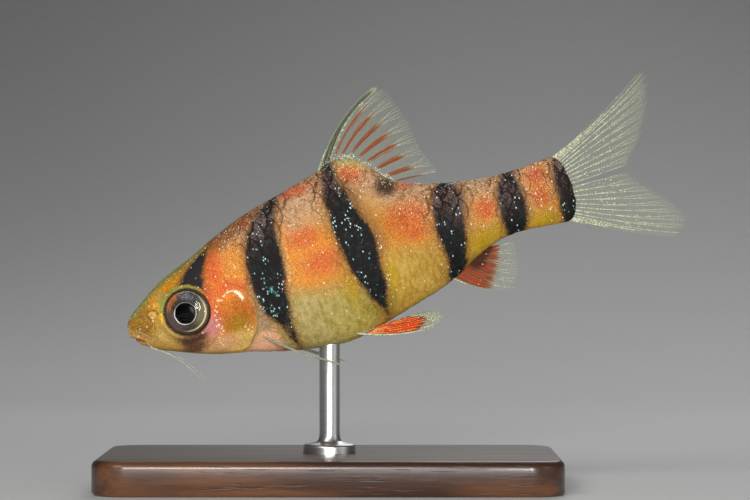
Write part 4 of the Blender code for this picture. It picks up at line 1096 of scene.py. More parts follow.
def iris_material():
    """Dark iris with sectors of other tones, a gold rim that is partly painted highlight, a painted
    highlight crescent above the pupil and a silver ring round the pupil.
    """
    n = Nodes("barb_iris")
    radius, right, up = n.parts(n.field("iris"))
    spokes = n.noise(n.field("spokes"), 1.0, 3.0, 0.7)
    fine = n.noise(n.field("place"), 11.0, 2.0)

    def toward(x, z):
        """1 in the middle of a sector that looks that way from the pupil, less to its sides."""
        return n.total((right, x), (up, z), (spokes, 0.7), start=-0.35)

    n.colour = n.mix(n.step(spokes, 0.35, 0.65), (0.018, 0.012, 0.008), (0.060, 0.042, 0.026))
    n.lay((0.024, 0.020, 0.012), n.step(toward(-0.1, -1.0), 0.45, 0.95), 0.8)
    n.lay((0.105, 0.062, 0.060), n.step(toward(-0.9, -0.4), 0.5, 0.95), 0.8)
    n.lay((0.14, 0.105, 0.042), n.step(toward(0.98, -0.2), 0.35, 0.95), 0.95)
    n.lay((0.008, 0.011, 0.011), n.step(toward(0.29, 0.96), 0.35, 0.75), 0.95)
    flush = n.times(n.step(toward(-0.66, 0.75), 0.74, 1.05), n.step(radius, 1.3, 1.6))
    n.lay((0.50, 0.13, 0.018), flush, 0.95)
    n.lay((0.60, 0.46, 0.22), n.step(fine, 0.58, 0.72), 0.4)
    # gold rim at the iris's edge, partly gold colour and partly painted highlight
    rearward = n.total((toward(0.7, -0.6), 1.0), (fine, 0.8), start=-0.4)
    gold_rim_and_highlight = n.times(n.between(radius, 1.66, 1.76, 1.8, 1.88), n.step(rearward, 0.05, 0.9))
    n.lay((0.80, 0.68, 0.36), gold_rim_and_highlight, 0.85)
    # painted highlight: a pale blue crescent above the pupil
    highlight_crescent = n.between(radius, 1.15, 1.42, 1.5, 1.72)
    highlight_crescent = n.times(highlight_crescent, n.step(toward(0.33, 0.94), 0.88, 1.15))
    n.lay((0.42, 0.50, 0.60), highlight_crescent, 0.5)
    beaded = n.between(radius, 1.74, 1.79, 1.83, 1.88)
    beaded = n.times(beaded, n.step(toward(0.0, 1.0), 0.0, 0.4), n.step(fine, 0.4, 0.6))
    n.lay((0.50, 0.36, 0.20), beaded, 0.7)
    n.lay((0.035, 0.016, 0.007), n.step(radius, 1.90, 1.98))
    n.lay((0.012, 0.009, 0.008), n.between(radius, 1.07, 1.11, 1.15, 1.21), 0.7)
    wander = n.total((radius, 1.0), (spokes, 0.12), start=-0.06)
    ring = n.between(wander, 0.965, 0.99, 1.03, 1.065)
    front, rear = n.step(toward(-0.85, -0.5), 0.2, 0.8), n.step(toward(0.85, -0.5), 0.6, 1.0)
    silver = n.mix(n.larger(front, rear), (0.36, 0.30, 0.25), (1.0, 0.96, 0.88))
    n.lay(silver, ring, n.total((fine, 0.8), start=0.45))
    pupil = n.step(radius, 0.965, 0.94)
    n.lay((0.001, 0.0012, 0.0012), pupil)
    return n.finish(
        Base_Color=n.colour, Roughness=n.total((pupil, -0.3), (fine, 0.1), start=0.42),
        Metallic=n.times(ring, 0.3), Specular_IOR_Level=n.total((pupil, -0.2), start=0.25),
        Normal=n.bump(n.times(spokes, n.step(radius, 0.9, 1.2)), 0.00004, 0.5),
    )


def cornea_material():
    """Clear tissue: what is behind shows through, and the lights mirror in it."""
    n = Nodes("barb_cornea")
    n.tree.nodes.remove(n.shader)
    clear = n.add("BsdfTransparent", {"Color": (0.97, 0.98, 1.0)})
    mist = n.total((n.noise(n.field("place"), 6.0, 2.0), 0.03), start=0.02)
    inputs = {"Color": (1.0, 1.0, 1.0), "Roughness": mist}
    glossy = n.add("BsdfGlossy", inputs, distribution="GGX")
    share = n.times(n.add("Fresnel", {"IOR": 1.36}), 0.35)
    mixed = n.add("MixShader", {0: share, 1: clear, 2: glossy})
    n.put(mixed, n.tree.nodes["Material Output"].inputs["Surface"])
    return n.material


def make_eyes(iris, cornea):
    points, faces = polar(iris_profile(), 128)
    radius = np.hypot(points[:, 0], points[:, 1])
    turn = np.arctan2(points[:, 1], points[:, 0])
    dome = [(r, 0.50 + 0.50 * math.sqrt(1 - (r / 2.12) ** 2)) for r in np.linspace(0.0, 2.02, 30)]
    dome += [(2.02, 0.60), (1.9, 0.58)]
    clear, clear_faces = polar(dome, 96)
    for side, word in SIDES:
        safe = np.maximum(radius, 1e-6)
        fields = {
            "place": eye_place(points, side),
            "iris": np.stack([radius, points[:, 0] / safe, points[:, 1] / safe], -1),
            "spokes": np.stack([4.5 * np.cos(turn), 4.5 * np.sin(turn), radius * 0.6], -1),
        }
        shifted = points.copy()
        shifted[:, :2] += np.array(PUPIL_SHIFT) * smoothstep(1.95, 1.0, radius)[:, None]
        placed = eye_place(shifted, side)
        build("eye_" + word + "_ball", placed, faces, iris, "eye", fields, None, ("eye_" + word,))
        placed = eye_place(clear, side)
        build("eye_" + word + "_cornea", placed, clear_faces, cornea, "eye", {"place": placed})


# Tubes, for rays and barbels
def tubes(path, radius, sides, aside):
    """Points, wall quads and end caps of a round closed tube along a path."""
    ahead = np.gradient(path, axis=0)
    across = unit(np.cross(ahead, aside))
    other = unit(np.cross(ahead, across))
    turn = np.arange(sides) * 2 * math.pi / sides
    spokes = across[:, None] * np.cos(turn)[:, None] + other[:, None] * np.sin(turn)[:, None]
    rings = path[:, None] + spokes * radius[:, None, None]
    fan = np.array([(0, k, k + 1) for k in range(1, sides - 1)])
    caps = np.concatenate([fan, fan[:, ::-1] + (len(path) - 1) * sides])
    return rings.reshape(-1, 3), grid_faces(len(path), sides, wrap=True), caps


# Fins
RAY_STEP = 0.075
SEGMENT = 0.26
TUBE_SIDES = 6
WEB_CELLS = 6
WEB_ROWS = 64
WEB_HALF = 0.022
ROOTED = 0.06
DORSAL = {
    "base": (19.85, 25.85),
    "crowding": 1.15,
    "short": (0.2, 0.5),
    "forked": 8,
    "edge": (
        (26.87, 13.68), (27.52, 12.94), (28.2, 11.45), (28.62, 9.7), (28.8, 8.0), (29.25, 6.4),
        (30.05, 4.72),
    ),
    "bow": (-0.39, 0.69),
    "outward": (-0.3, 0.95),
}
ANAL = {
    "base": (28.35, 31.85),
    "crowding": 1.0,
    "short": (0.22, 0.52),
    "forked": 5,
    "edge": ((33.2, -7.05), (33.78, -6.3), (34.05, -5.4), (34.3, -4.1), (34.35, -2.86)),
    "bow": (-0.2, -0.36),
    "outward": (0.0, -1.0),
}
LOBES = {
    "caudal_fin_upper": {
        "root": (86.0, 4.0),
        "short": (0.14, 0.32, 0.56),
        "forked": 9,
        "edge": (
            (49.25, 8.16), (49.32, 7.2), (49.02, 5.8), (48.42, 4.25), (47.55, 2.75), (46.5, 1.55),
            (45.6, 0.42),
        ),
        "bow": (0.1, -0.24),
        "outward": (-0.45, 0.9),
    },
    "caudal_fin_lower": {
        "root": (-86.0, -4.0),
        "short": (0.14, 0.32, 0.56),
        "forked": 8,
        "edge": (
            (48.3, -6.85), (49.08, -6.15), (49.02, -5.05), (48.4, -3.95), (47.35, -2.6),
            (46.35, -1.4), (45.5, 0.02),
        ),
        "bow": (0.25, -0.42),
        "outward": (-0.3, -0.95),
    },
}
DORSAL_RAYS = 11
ANAL_RAYS = 9
LOBE_INNER_BOW = 0.9
TIP_SPACING = 0.13
PELVIC_BASE = ((18.95, 1.3), (20.7, 0.6))
PELVIC_EDGE = (
    (25.4, 2.75, -7.98), (26.3, 2.5, -7.5), (26.5, 2.1, -7.05), (25.9, 1.5, -6.72), (24.5, 0.95, -6.5),
)
PELVIC_RAYS = 9
PELVIC_BOW = (0.1, 0.33)
PECTORAL_BASE = ((10.98, -4.25), (11.75, -4.85))
PECTORAL_LINE = np.array((0.805, 0.0, -0.594))
PECTORAL_SPREAD = (46.0, 9.0)
PECTORAL_LENGTHS = ((0.0, 7.9), (0.2, 8.5), (0.5, 8.0), (0.8, 6.6), (1.0, 5.4))
PECTORAL_RAYS = 11
PECTORAL_BOW = (-0.1, 0.12, -0.18)


def along_line(points, share):
    """The place at a share of the way along a smooth line."""
    fine = smooth_line(points, 8)
    last = len(fine) - 1
    i = min(int(share * last), last - 1)
    return fine[i] + (fine[i + 1] - fine[i]) * (share * last - i)


def ray(root, tip, bow, forked, ridge=1.0):
    """A ray's three-point curve, whether it forks, and the share of its length that it ends at."""
    root, tip, bow = (np.array(p, float) for p in (root, tip, bow))
    return {"curve": (root, (root + tip) / 2 + bow * 2, tip), "forked": forked, "ridge": ridge}


def upright_rays(roots, shape, bow_at):
    """Rays of an unpaired fin: bundled simple ones at its front, then forked ones to its rear."""
    short = shape["short"]
    out = np.array(shape["outward"]) / np.linalg.norm(shape["outward"])
    rays = []
    for i, root in enumerate(roots):
        part = max(i - len(short), 0) / shape["forked"]
        inset = TIP_SPACING * min(i, len(short)) * (1 - part)
        tip = along_line(shape["edge"], part) - out * inset
        ridge = short[i] if i < len(short) else 1.0
        root, tip, bow = ((p[0], 0, p[1]) for p in (root, tip, bow_at(part)))
        rays.append(ray(root, tip, bow, part > 0, ridge))
    return rays


class Fin:
    """A fin's surface: place counts its rays and share runs from their roots to their tips."""

    def __init__(self, rays):
        self.rays = rays
        self.curves = np.array([one["curve"] for one in rays])

    def point(self, place, share):
        place, share = np.broadcast_arrays(np.asarray(place, float), np.asarray(share, float))
        low = np.clip(place.astype(int), 0, len(self.rays) - 2)
        part = (place - low)[..., None]
        s = share[..., None]

        def on(index):
            root, control, tip = (self.curves[index, k] for k in range(3))
            return root * (1 - s) ** 2 + control * 2 * s * (1 - s) + tip * s * s

        return on(low) * (1 - part) + on(low + 1) * part

    def normal(self, place, share):
        step = 0.02
        last = len(self.rays) - 1
        behind, ahead = np.maximum(place - step, 0), np.minimum(place + step, last)
        inner, outer = np.maximum(share - step, 0.0), np.minimum(share + step, 1.0)
        beside = self.point(ahead, share) - self.point(behind, share)
        onward = self.point(place, outer) - self.point(place, inner)
        return unit(np.cross(beside, onward))

    def length(self, i):
        root, _, tip = self.curves[i]
        return np.linalg.norm(tip - root)


def on_ray(share):
    return np.zeros(np.shape(share))


def fork(side, start, width, before=on_ray):
    """An offset that leaves another one at a share of the ray and grows to a width at its tip."""
    return lambda share: before(share) + side * width * np.clip((share - start) / (1 - start), 0, 1)


def branch_paths(fin, random):
    """Ray, start share, end share, offset function and stoutness of each stem and branch."""
    last = len(fin.rays) - 1
    lines = []
    for i, one in enumerate(fin.rays):
        if not one["forked"]:
            lines.append((i, 0.0, one["ridge"], on_ray, 1.0))
            continue
        reach = {side: 1.0 + 0.012 * random.normal() for side in (-1, 1)}
        first = 0.3 + 0.05 * random.normal()
        second = 0.6 + 0.04 * random.normal()
        lines.append((i, 0.0, first, on_ray, 1.0))
        for side in (-1, 1):
            if not 0 <= i + side * 0.5 <= last:
                continue
            branch = fork(side, first, 0.25)
            lines.append((i, first, second, branch, 0.78))
            for twig in (-1, 1):
                lines.append((i, second, reach[side], fork(twig, second, 0.125, branch), 0.6))
    return lines


class FinMesh:
    """Gathers the vertices of a fin, each with its numbers, and the faces."""

    def __init__(self):
        self.size = 0
        self.rows = []
        self.quads = []
        self.triangles = []

    def add(self, points, place, share, distance, kind, quads):
        numbers = np.broadcast_arrays(place, share, distance, kind)
        self.rows.append(np.column_stack([points, *numbers]))
        self.quads.append(quads + self.size)
        self.size += len(points)

    def add_web(self, fin):
        """Both sheets of the clear web, thinner and notched towards its edge."""
        last = len(fin.rays) - 1
        places = np.linspace(0.0, last, last * WEB_CELLS + 1)
        place, share = np.meshgrid(places, np.linspace(-ROOTED, 1.0, WEB_ROWS), indexing="ij")
        outer = np.clip(share, 0, 1)
        notch = 0.035 * np.abs(np.sin(place * math.pi)) + 0.012 * np.abs(np.sin(place * math.pi * 2))
        reach = share * (1 - notch * outer**3)
        middle = fin.point(place, reach)
        half = WEB_HALF * (1 - 0.6 * outer)[..., None]
        aside = fin.normal(place, np.clip(reach, 0.0, 1.0)) * half
        points = np.concatenate([(middle + aside).reshape(-1, 3), (middle - aside).reshape(-1, 3)])
        faces = plate_faces(*place.shape)
        place, share = np.tile(place.ravel(), 2), np.tile(share.ravel(), 2)
        self.add(points, place, share, share * fin.length(last // 2), 0.0, faces)

    def add_branch(self, fin, thick, i, start, end, offset, stout):
        """A tube along one stem or branch, narrower at the joints between its segments."""
        long = fin.length(i)
        count = max(int(long * (end - start) / RAY_STEP), 6)
        share = np.linspace(start if start > 0 else -ROOTED, end, count)
        place = np.clip(i + offset(share), 0.0, len(fin.rays) - 1)
        inner = np.clip(share, 0, 1)
        along = (share * long) % SEGMENT - SEGMENT / 2
        joint = 1 - 0.22 * np.exp(-((along / 0.045) ** 2))
        taper = (1 - 0.62 * inner) * (1 - 0.5 * smoothstep(end - 0.12, end, share))
        simple = 1.0 if fin.rays[i]["forked"] else 1.25
        radius = thick * stout * simple * taper * joint
        path, aside = fin.point(place, share), fin.normal(place, inner)
        points, quads, caps = tubes(path, radius, TUBE_SIDES, aside)
        self.triangles.append(caps + self.size)
        place, share = np.repeat(place, TUBE_SIDES), np.repeat(share, TUBE_SIDES)
        self.add(points, place, share, share * long, stout, quads)


def make_fin(node, slot, rays, material, thick, paint, seed):
    """The web and the segmented, forked rays of one fin as a piece."""
    fin = Fin(rays)
    mesh = FinMesh()
    mesh.add_web(fin)
    random = np.random.default_rng(seed)
    for branch in branch_paths(fin, random):
        mesh.add_branch(fin, thick, *branch)
    rows = np.concatenate(mesh.rows)
    points, (place, share, distance, kind) = rows[:, :3], rows[:, 3:].T
    red, dark, glint_chance, cover = paint(place / (len(rays) - 1), np.clip(share, 0, 1), kind)
    fields = {
        "place": points,
        "fin_a": np.stack(np.broadcast_arrays(red, dark, glint_chance), -1),
        "fin_b": np.stack([cover, kind, distance], -1),
        "streak": np.stack([place * 4.2, distance * 0.3, kind * 5.0], -1),
    }
    faces = [np.concatenate(mesh.quads), np.concatenate(mesh.triangles)]
    build(node + "_dressed", points, faces, material, slot, fields, replaces=(node,))


def fin_material():
    """Clear fin web and bony rays, with red and dark parts, painted highlights on the red rays and
    golden specks painted as glints.
    """
    n = Nodes("barb_fin")
    place = n.field("place")
    red, dark, glint_chance = n.parts(n.field("fin_a"))
    cover, kind, distance = n.parts(n.field("fin_b"))
    streak = n.noise(n.field("streak"), 1.0, 3.0, 0.6)
    fine = n.noise(place, 7.0, 2.0, 0.6)
    is_ray = n.step(kind, 0.2, 0.4)
    uneven = n.total((streak, 1.5), (fine, 0.5), start=-1.0)
    bristle = n.math("SINE", n.times(n.parts(n.field("streak"))[0], 5.6))

    web = n.mix(n.step(fine, 0.4, 0.7), (0.28, 0.32, 0.17), (0.48, 0.52, 0.34))
    bone = n.mix(n.step(fine, 0.35, 0.65), (0.34, 0.36, 0.22), (0.86, 0.86, 0.66))
    n.colour = n.mix(is_ray, web, bone)
    red_part = n.step(n.total((red, 1.0), (uneven, 0.7), (bristle, 0.13)), 0.1, 0.85)
    red_tone = n.mix(n.step(streak, 0.35, 0.65), (0.15, 0.021, 0.003), (0.28, 0.034, 0.004))
    red_tone = n.mix(n.step(red, 0.95, 1.25), red_tone, (0.85, 0.075, 0.004))
    dull = n.times(is_ray, n.step(red, 1.3, 0.9), 0.5)
    red_tone = n.mix(dull, red_tone, (0.40, 0.08, 0.02))
    # painted highlights: pale orange streaks on the vivid red rays
    ray_highlight = n.times(is_ray, n.step(red, 1.1, 1.3), n.step(streak, 0.48, 0.6), 0.85)
    red_tone = n.mix(ray_highlight, red_tone, (1.0, 0.50, 0.12))
    n.lay(red_tone, red_part, 0.95)
    dark_part = n.step(n.total((dark, 1.0), (uneven, 0.5)), 0.3, 0.7)
    dark_tone = n.mix(fine, (0.022, 0.025, 0.016), (0.10, 0.105, 0.07))
    dark_tone = n.mix(n.step(red, 0.0, 0.3), dark_tone, (0.045, 0.014, 0.004))
    n.lay(dark_tone, dark_part, 0.92)
    # painted glints: golden and pale specks, their chance set by each fin's paint
    chance, hue = n.parts(n.cells(place, 7.0, "Color"))[:2]
    lit = n.math("GREATER_THAN", n.total((chance, 1.0), (glint_chance, 0.8)), 1.0)
    lit = n.times(lit, n.step(n.cells(place, 7.0), 0.42, 0.2))
    n.lay(n.mix(hue, (0.95, 0.80, 0.38), (0.80, 1.0, 0.80)), lit)
    joints = n.times(n.step(n.math("SINE", n.times(distance, 24.0)), 0.75, 1.0), is_ray)
    n.lay((0.07, 0.06, 0.035), joints, 0.5)
    tinted = n.larger(n.times(red_part, 0.97), n.times(dark_part, 0.93))
    tinted = n.times(tinted, n.step(n.total((red, 1.0), (dark, 1.0)), 0.15, 0.45))
    return n.finish(
        Base_Color=n.colour, Alpha=n.larger(n.larger(cover, tinted), lit),
        Roughness=n.total((fine, 0.2), start=0.32), Normal=n.bump(fine, 0.00002, 0.5),
        Specular_IOR_Level=n.total((tinted, -0.11), start=0.15),
    )


def off_ray(at, rays):
    """Distance behind the nearest ray, in steps from ray to ray."""
    return (at * (rays - 1) + 0.5) % 1.0 - 0.5


def beside_ray(at, rays, ahead, after):
    """1 on a ray and just behind it, 0 on the clear web between."""
    off = off_ray(at, rays)
    return smoothstep(-ahead - 0.06, -ahead + 0.02, off) * smoothstep(after + 0.08, after - 0.04, off)


# Red, dark, chance of a painted glint and cover of each fin: at runs from its front to its rear, along
# from its root out


def dorsal_paint(at, along, kind):
    front = 1 - smoothstep(0.22, 0.25, at)
    dark = np.maximum(spread(at, 0.085, 0.15, 0.012), spread(at, 0.165, 0.215, 0.01))
    dark = np.maximum(dark, 0.5 * front * smoothstep(0.01, 0.05, at))
    dark = dark * (1 - smoothstep(0.86, 1.0, along))
    reach = 0.78 - 0.12 * at
    stripe_half = 0.20 + 0.10 * np.clip(along / reach, 0.0, 1.0)
    stripes = np.exp(-(((off_ray(at, DORSAL_RAYS) - 0.04) / stripe_half) ** 2))
    red = 0.92 * smoothstep(0.25, 0.3, at) * smoothstep(-0.1, 0.2, along) * stripes
    red = red * smoothstep(reach + 0.16, reach - 0.25, along)
    dotted_line = spread(at, 0.222, 0.248, 0.008) * (along < 0.8)
    glint_chance = np.maximum(1 - smoothstep(0.04, 0.10, along), dotted_line)
    ray_cover = np.where(kind > 0, 0.88 - 0.25 * smoothstep(0.55, 1.0, along), 0.0)
    web = 0.06 + 0.05 * (1 - along) - 0.02 * smoothstep(0.6, 1.0, along) + 0.4 * front
    return red, dark, glint_chance, np.maximum(ray_cover, web)


def anal_paint(at, along, kind):
    red = 1.08 * (1 - smoothstep(0.42, 0.82, along + 0.12 * at)) * (1 - 0.15 * at)
    red = red * smoothstep(0.0, 0.06, at)
    red = red * (0.8 + 0.2 * beside_ray(at, ANAL_RAYS, 0.2, 0.3))
    dark = smoothstep(0.2, 0.6, at) * (1 - smoothstep(0.1, 0.5, along)) * 0.8
    ray_cover = np.where(kind > 0, 0.85 - 0.4 * smoothstep(0.6, 1.0, along), 0.0)
    return red, dark, 0.04 * (1 - along), np.maximum(ray_cover, 0.10 - 0.04 * along)


def caudal_paint(at, along, kind):
    dark = 0.3 * (1 - smoothstep(0.0, 0.06, along))
    glint_chance = 0.14 * spread(along, 0.2, 0.7, 0.2)
    ray_cover = np.where(kind > 0, 0.88 - 0.25 * smoothstep(0.45, 1.0, along), 0.0)
    return 0.0, dark, glint_chance, np.maximum(ray_cover, 0.13 - 0.06 * along)


def pelvic_paint(at, along, kind):
    red = 1.45 * smoothstep(0.0, 0.14, along) * (1 - smoothstep(0.66, 0.86, along))
    red = red * (0.72 + 0.28 * beside_ray(at, PELVIC_RAYS, 0.16, 0.3)) * smoothstep(0.02, 0.08, at)
    # painted glints along the rays, most near their tips
    glint_chance = np.where(kind > 0, 0.3 + 0.55 * spread(along, 0.78, 0.95, 0.06), 0.05)
    ray_cover = np.where(kind > 0, 0.92 - 0.4 * smoothstep(0.7, 1.0, along), 0.0)
    return red, 0.0, glint_chance, np.maximum(ray_cover, 0.18 - 0.1 * along)


def pectoral_paint(at, along, kind):
    ray_cover = np.where(kind > 0, 0.72 - 0.3 * smoothstep(0.6, 1.0, along), 0.0)
    return 0.0, 0.12 * (1 - along), 0.1, np.maximum(ray_cover, 0.16 - 0.06 * along)


def ray_roots(shape, level_at):
    """Roots along the base of an unpaired fin, closer together at its front."""
    low, high = shape["base"]
    count = len(shape["short"]) + 1 + shape["forked"]
    places = low + (high - low) * np.linspace(0.0, 1.0, count) ** shape["crowding"]
    return [(x, level_at(x)) for x in places]


def stem_end_line(distance, low, high, count):
    """Places round the tail stem's end, a distance off it, between two angles in degrees."""
    line = []
    for angle in np.radians(np.linspace(low, high, count)):
        x = STEM_END["x"] + (STEM_END["long"] + distance) * math.cos(angle)
        line.append((x, STEM_END["z"] + (STEM_END["high"] + distance) * math.sin(angle)))
    return line


def make_middle_fins(material):
    """Dorsal, anal and tail fins."""
    roots = ray_roots(DORSAL, lambda x: float(back_at(x) + sheath_at(x)) - 0.1)
    rays = upright_rays(roots, DORSAL, lambda part: np.array(DORSAL["bow"]) * (1 - part) ** 1.2)
    make_fin("dorsal_fin", "dorsal_fin", rays, material, 0.075, dorsal_paint, 11)
    roots = ray_roots(ANAL, lambda x: float(belly_at(x)) + 0.1)
    rays = upright_rays(roots, ANAL, lambda part: np.array(ANAL["bow"]) * (1 - part))
    make_fin("anal_fin", "anal_fin", rays, material, 0.07, anal_paint, 12)
    for number, (name, lobe) in enumerate(LOBES.items()):
        count = len(lobe["short"]) + 1 + lobe["forked"]
        inner_bow = np.array((0.0, math.copysign(LOBE_INNER_BOW, lobe["root"][0])))

        def bow_at(part, lobe=lobe, inner_bow=inner_bow):
            return np.array(lobe["bow"]) * (1 - part) ** 3 + inner_bow * part * (1 - part) ** 2

        rays = upright_rays(stem_end_line(-0.25, *lobe["root"], count), lobe, bow_at)
        make_fin(name, "caudal_fin", rays, material, 0.07, caudal_paint, 13 + number)


def pelvic_rays(side):
    rays = []
    for part in np.linspace(0.0, 1.0, PELVIC_RAYS):
        bx, by = np.array(PELVIC_BASE[0]) * (1 - part) + np.array(PELVIC_BASE[1]) * part
        root = (bx, side * by, underside(bx, by) + 0.05)
        tip = along_line(PELVIC_EDGE, part) * (1, side, 1)
        bow = (0.0, side * PELVIC_BOW[0], -PELVIC_BOW[1] * (1 - part))
        rays.append(ray(root, tip, bow, part > 0))
    return rays


def pectoral_rays(side):
    length_at = smooth_curve(PECTORAL_LENGTHS)
    rays = []
    for part in np.linspace(0.0, 1.0, PECTORAL_RAYS):
        bx, bz = np.array(PECTORAL_BASE[0]) * (1 - part) + np.array(PECTORAL_BASE[1]) * part
        root = np.array((bx, side * (float(half_width(bx, bz)) - 0.05), bz))
        angle = math.radians(PECTORAL_SPREAD[0] * (1 - part) + PECTORAL_SPREAD[1] * part)
        out = PECTORAL_LINE * math.cos(angle) + np.array((0.0, side * math.sin(angle), 0.0))
        bow = np.array(PECTORAL_BOW) * (1, side, 1)
        rays.append(ray(root, root + out * float(length_at(part)), bow, part > 0))
    return rays


def make_paired_fins(material):
    for side, word in SIDES:
        node = "pelvic_fin_" + word
        make_fin(node, "pelvic_fin", pelvic_rays(side), material, 0.085, pelvic_paint, 20 + side)
        node = "pectoral_fin_" + word
        make_fin(node, "pectoral_fin", pectoral_rays(side), material, 0.06, pectoral_paint, 30 + side)


# Barbels
BARBELS = (
    ("barbel", (1.25, -2.0), 0.075, (
        (1.5, 1.38, -2.45), (2.0, 1.5, -2.85), (2.78, 1.6, -3.45), (3.6, 1.72, -4.33),
        (4.29, 1.84, -5.36), (4.98, 1.95, -6.55),
    )),
    ("snout_barbel", (0.85, -0.72), 0.06, (
        (0.88, 1.72, -0.86), (1.2, 1.9, -1.14), (1.6, 2.08, -1.52), (2.0, 2.2, -1.95),
    )),
)


def barbel_material():
    n = Nodes("barb_barbel")
    fine = n.noise(n.field("place"), 6.0, 2.0)
    colour = n.mix(n.step(fine, 0.35, 0.65), (0.48, 0.42, 0.26), (0.80, 0.76, 0.58))
    return n.finish(
        Base_Color=colour, Alpha=n.total((fine, 0.3), start=0.62),
        Roughness=n.total((fine, 0.2), start=0.3), Normal=n.bump(fine, 0.00002, 0.5),
    )


def make_barbels(material):
    for name, (root_x, root_z), thick, line in BARBELS:
        root_y = float(half_width(root_x, root_z)) - 0.1
        for side, word in SIDES:
            path = np.array([(root_x, root_y, root_z), *line]) * (1, side, 1)
            path = np.array(smooth_line(path, 12))
            radius = thick * (1 - 0.78 * np.linspace(0.0, 1.0, len(path)) ** 0.8)
            points, faces, caps = tubes(path, radius, 10, (0.0, 1.0, 0.0))
            node = name + "_" + word
            fields = {"place": points}
            build(node + "_dressed", points, [faces, caps], material, "barbel", fields, replaces=(node,))


# Stand
BASE_SIZE = (40.0, 24.0, 3.0)
BASE_CORNER = 3.0
BASE_EDGE = 0.6
BASE_FOOT = 0.25
ROD_RADIUS = 0.9
ROD_SUNK = 0.6
COLLAR_RADIUS = 2.3
COLLAR_SIDE = 0.5
COLLAR_HEIGHT = 0.55
COLLAR_EDGE = (0.3, 0.25)
COLLAR_NECK = ((1.25, 0.95), (1.05, 1.05), (0.94, 1.3), (ROD_RADIUS, 1.7))
ROD_SIDES = 64


def wood_material():
    n = Nodes("dark_hardwood")
    place = n.add("TexCoord", {}, "Object")
    warp = n.noise(n.scaled(place, (40.0, 160.0, 160.0)), 1.0, 2.0)
    grain = n.noise(n.scaled(place, (70.0, 900.0, 900.0)), 1.0, 5.0, 0.7)
    rings = n.math("SINE", n.total((n.parts(place)[1], 1900.0), (warp, 14.0)))
    tone = n.total((grain, 0.7), (rings, 0.14))
    colour = n.mix(n.step(tone, 0.2, 0.62), (0.045, 0.016, 0.007), (0.16, 0.062, 0.024))
    pores = n.step(n.noise(n.scaled(place, (300.0, 5200.0, 5200.0)), 1.0, 2.0), 0.60, 0.70)
    colour = n.mix(n.times(pores, 0.6), colour, (0.02, 0.008, 0.004))
    height = n.total((grain, 1.0), (pores, -0.6))
    return n.finish(
        Base_Color=colour, Roughness=n.total((grain, 0.2), start=0.28),
        Normal=n.bump(height, 0.00004, 0.6), Coat_Weight=0.35, Coat_Roughness=0.15,
    )


def steel_material():
    n = Nodes("brushed_steel")
    place = n.add("TexCoord", {}, "Object")
    brush = n.noise(n.scaled(place, (300.0, 300.0, 14000.0)), 1.0, 3.0, 0.6)
    colour = n.mix(brush, (0.50, 0.50, 0.50), (0.72, 0.72, 0.71))
    return n.finish(
        Base_Color=colour, Metallic=1.0, Roughness=n.total((brush, 0.2), start=0.22),
        Normal=n.bump(brush, 0.00001, 0.5),
    )


def base_ring(inset, height):
    """Corners of the base's outline at a height, drawn in by the inset."""
    radius = BASE_CORNER - inset
    ring = []
    for quarter, (sx, sy) in enumerate(((1, 1), (-1, 1), (-1, -1), (1, -1))):
        for turn in np.linspace(0.0, math.pi / 2, 16):
            angle = quarter * math.pi / 2 + turn
            x = sx * (BASE_SIZE[0] / 2 - BASE_CORNER) + radius * math.cos(angle)
            y = sy * (BASE_SIZE[1] / 2 - BASE_CORNER) + radius * math.sin(angle)
            ring.append((x, y, height))
    return ring


def make_base():
    """A block with rounded corners and a soft top edge."""
    high = BASE_SIZE[2]
    layers = [(BASE_FOOT, 0.0), (0.0, BASE_FOOT), (0.0, high - BASE_EDGE)]
    for turn in np.linspace(0.0, math.pi / 2, 9)[1:]:
        layers.append((BASE_EDGE * (1 - math.cos(turn)), high - BASE_EDGE * (1 - math.sin(turn))))
    points = np.array([base_ring(*layer) for layer in layers])
    rows, columns = points.shape[:2]
    flat = np.concatenate([points.reshape(-1, 3), [(0, 0, 0), (0, 0, high)]])
    faces = [
        grid_faces(rows, columns, wrap=True),
        fan_faces(rows * columns, 0, columns, turned=True),
        fan_faces(rows * columns + 1, (rows - 1) * columns, columns),
    ]
    node = "stand_base"
    base = build(node + "_dressed", flat, faces, wood_material(), node, replaces=(node,), fish=False)
    base.data.set_sharp_from_angle(angle=math.radians(50))


def make_rod():
    """A collar on the base and a rod that ends in the belly."""
    foot = BASE_SIZE[2]
    profile = [(COLLAR_RADIUS, foot), (COLLAR_RADIUS, foot + COLLAR_SIDE)]
    for turn in np.linspace(0, math.pi / 2, 6):
        inset = COLLAR_EDGE[0] * (1 - math.cos(turn))
        rise = COLLAR_HEIGHT + COLLAR_EDGE[1] * math.sin(turn)
        profile.append((COLLAR_RADIUS - inset, foot + rise))
    profile += [(radius, foot + height) for radius, height in COLLAR_NECK]
    profile += [(ROD_RADIUS, rod_top()), (0.0, rod_top())]
    rings, faces = polar(profile[::-1], ROD_SIDES)
    low_ring = (len(profile) - 2) * ROD_SIDES
    faces.append(fan_faces(len(rings), low_ring, ROD_SIDES, turned=True))
    rings = np.concatenate([rings, [(0.0, 0.0, foot)]])
    node = "stand_rod"
    rod = build(node + "_dressed", rings, faces, steel_material(), node, replaces=(node,), fish=False)
    rod.data.set_sharp_from_angle(angle=math.radians(35))


def rod_top():
    """World height, in mm, at which the rod's axis is well inside the belly."""
    best = 0.0
    for x in np.linspace(16.0, 23.0, 200):
        world = to_world(np.array([x, 0.0, float(belly_at(x))])) / MM
        if abs(world[0]) < 0.2:
            best = world[2]
    return best + ROD_SUNK


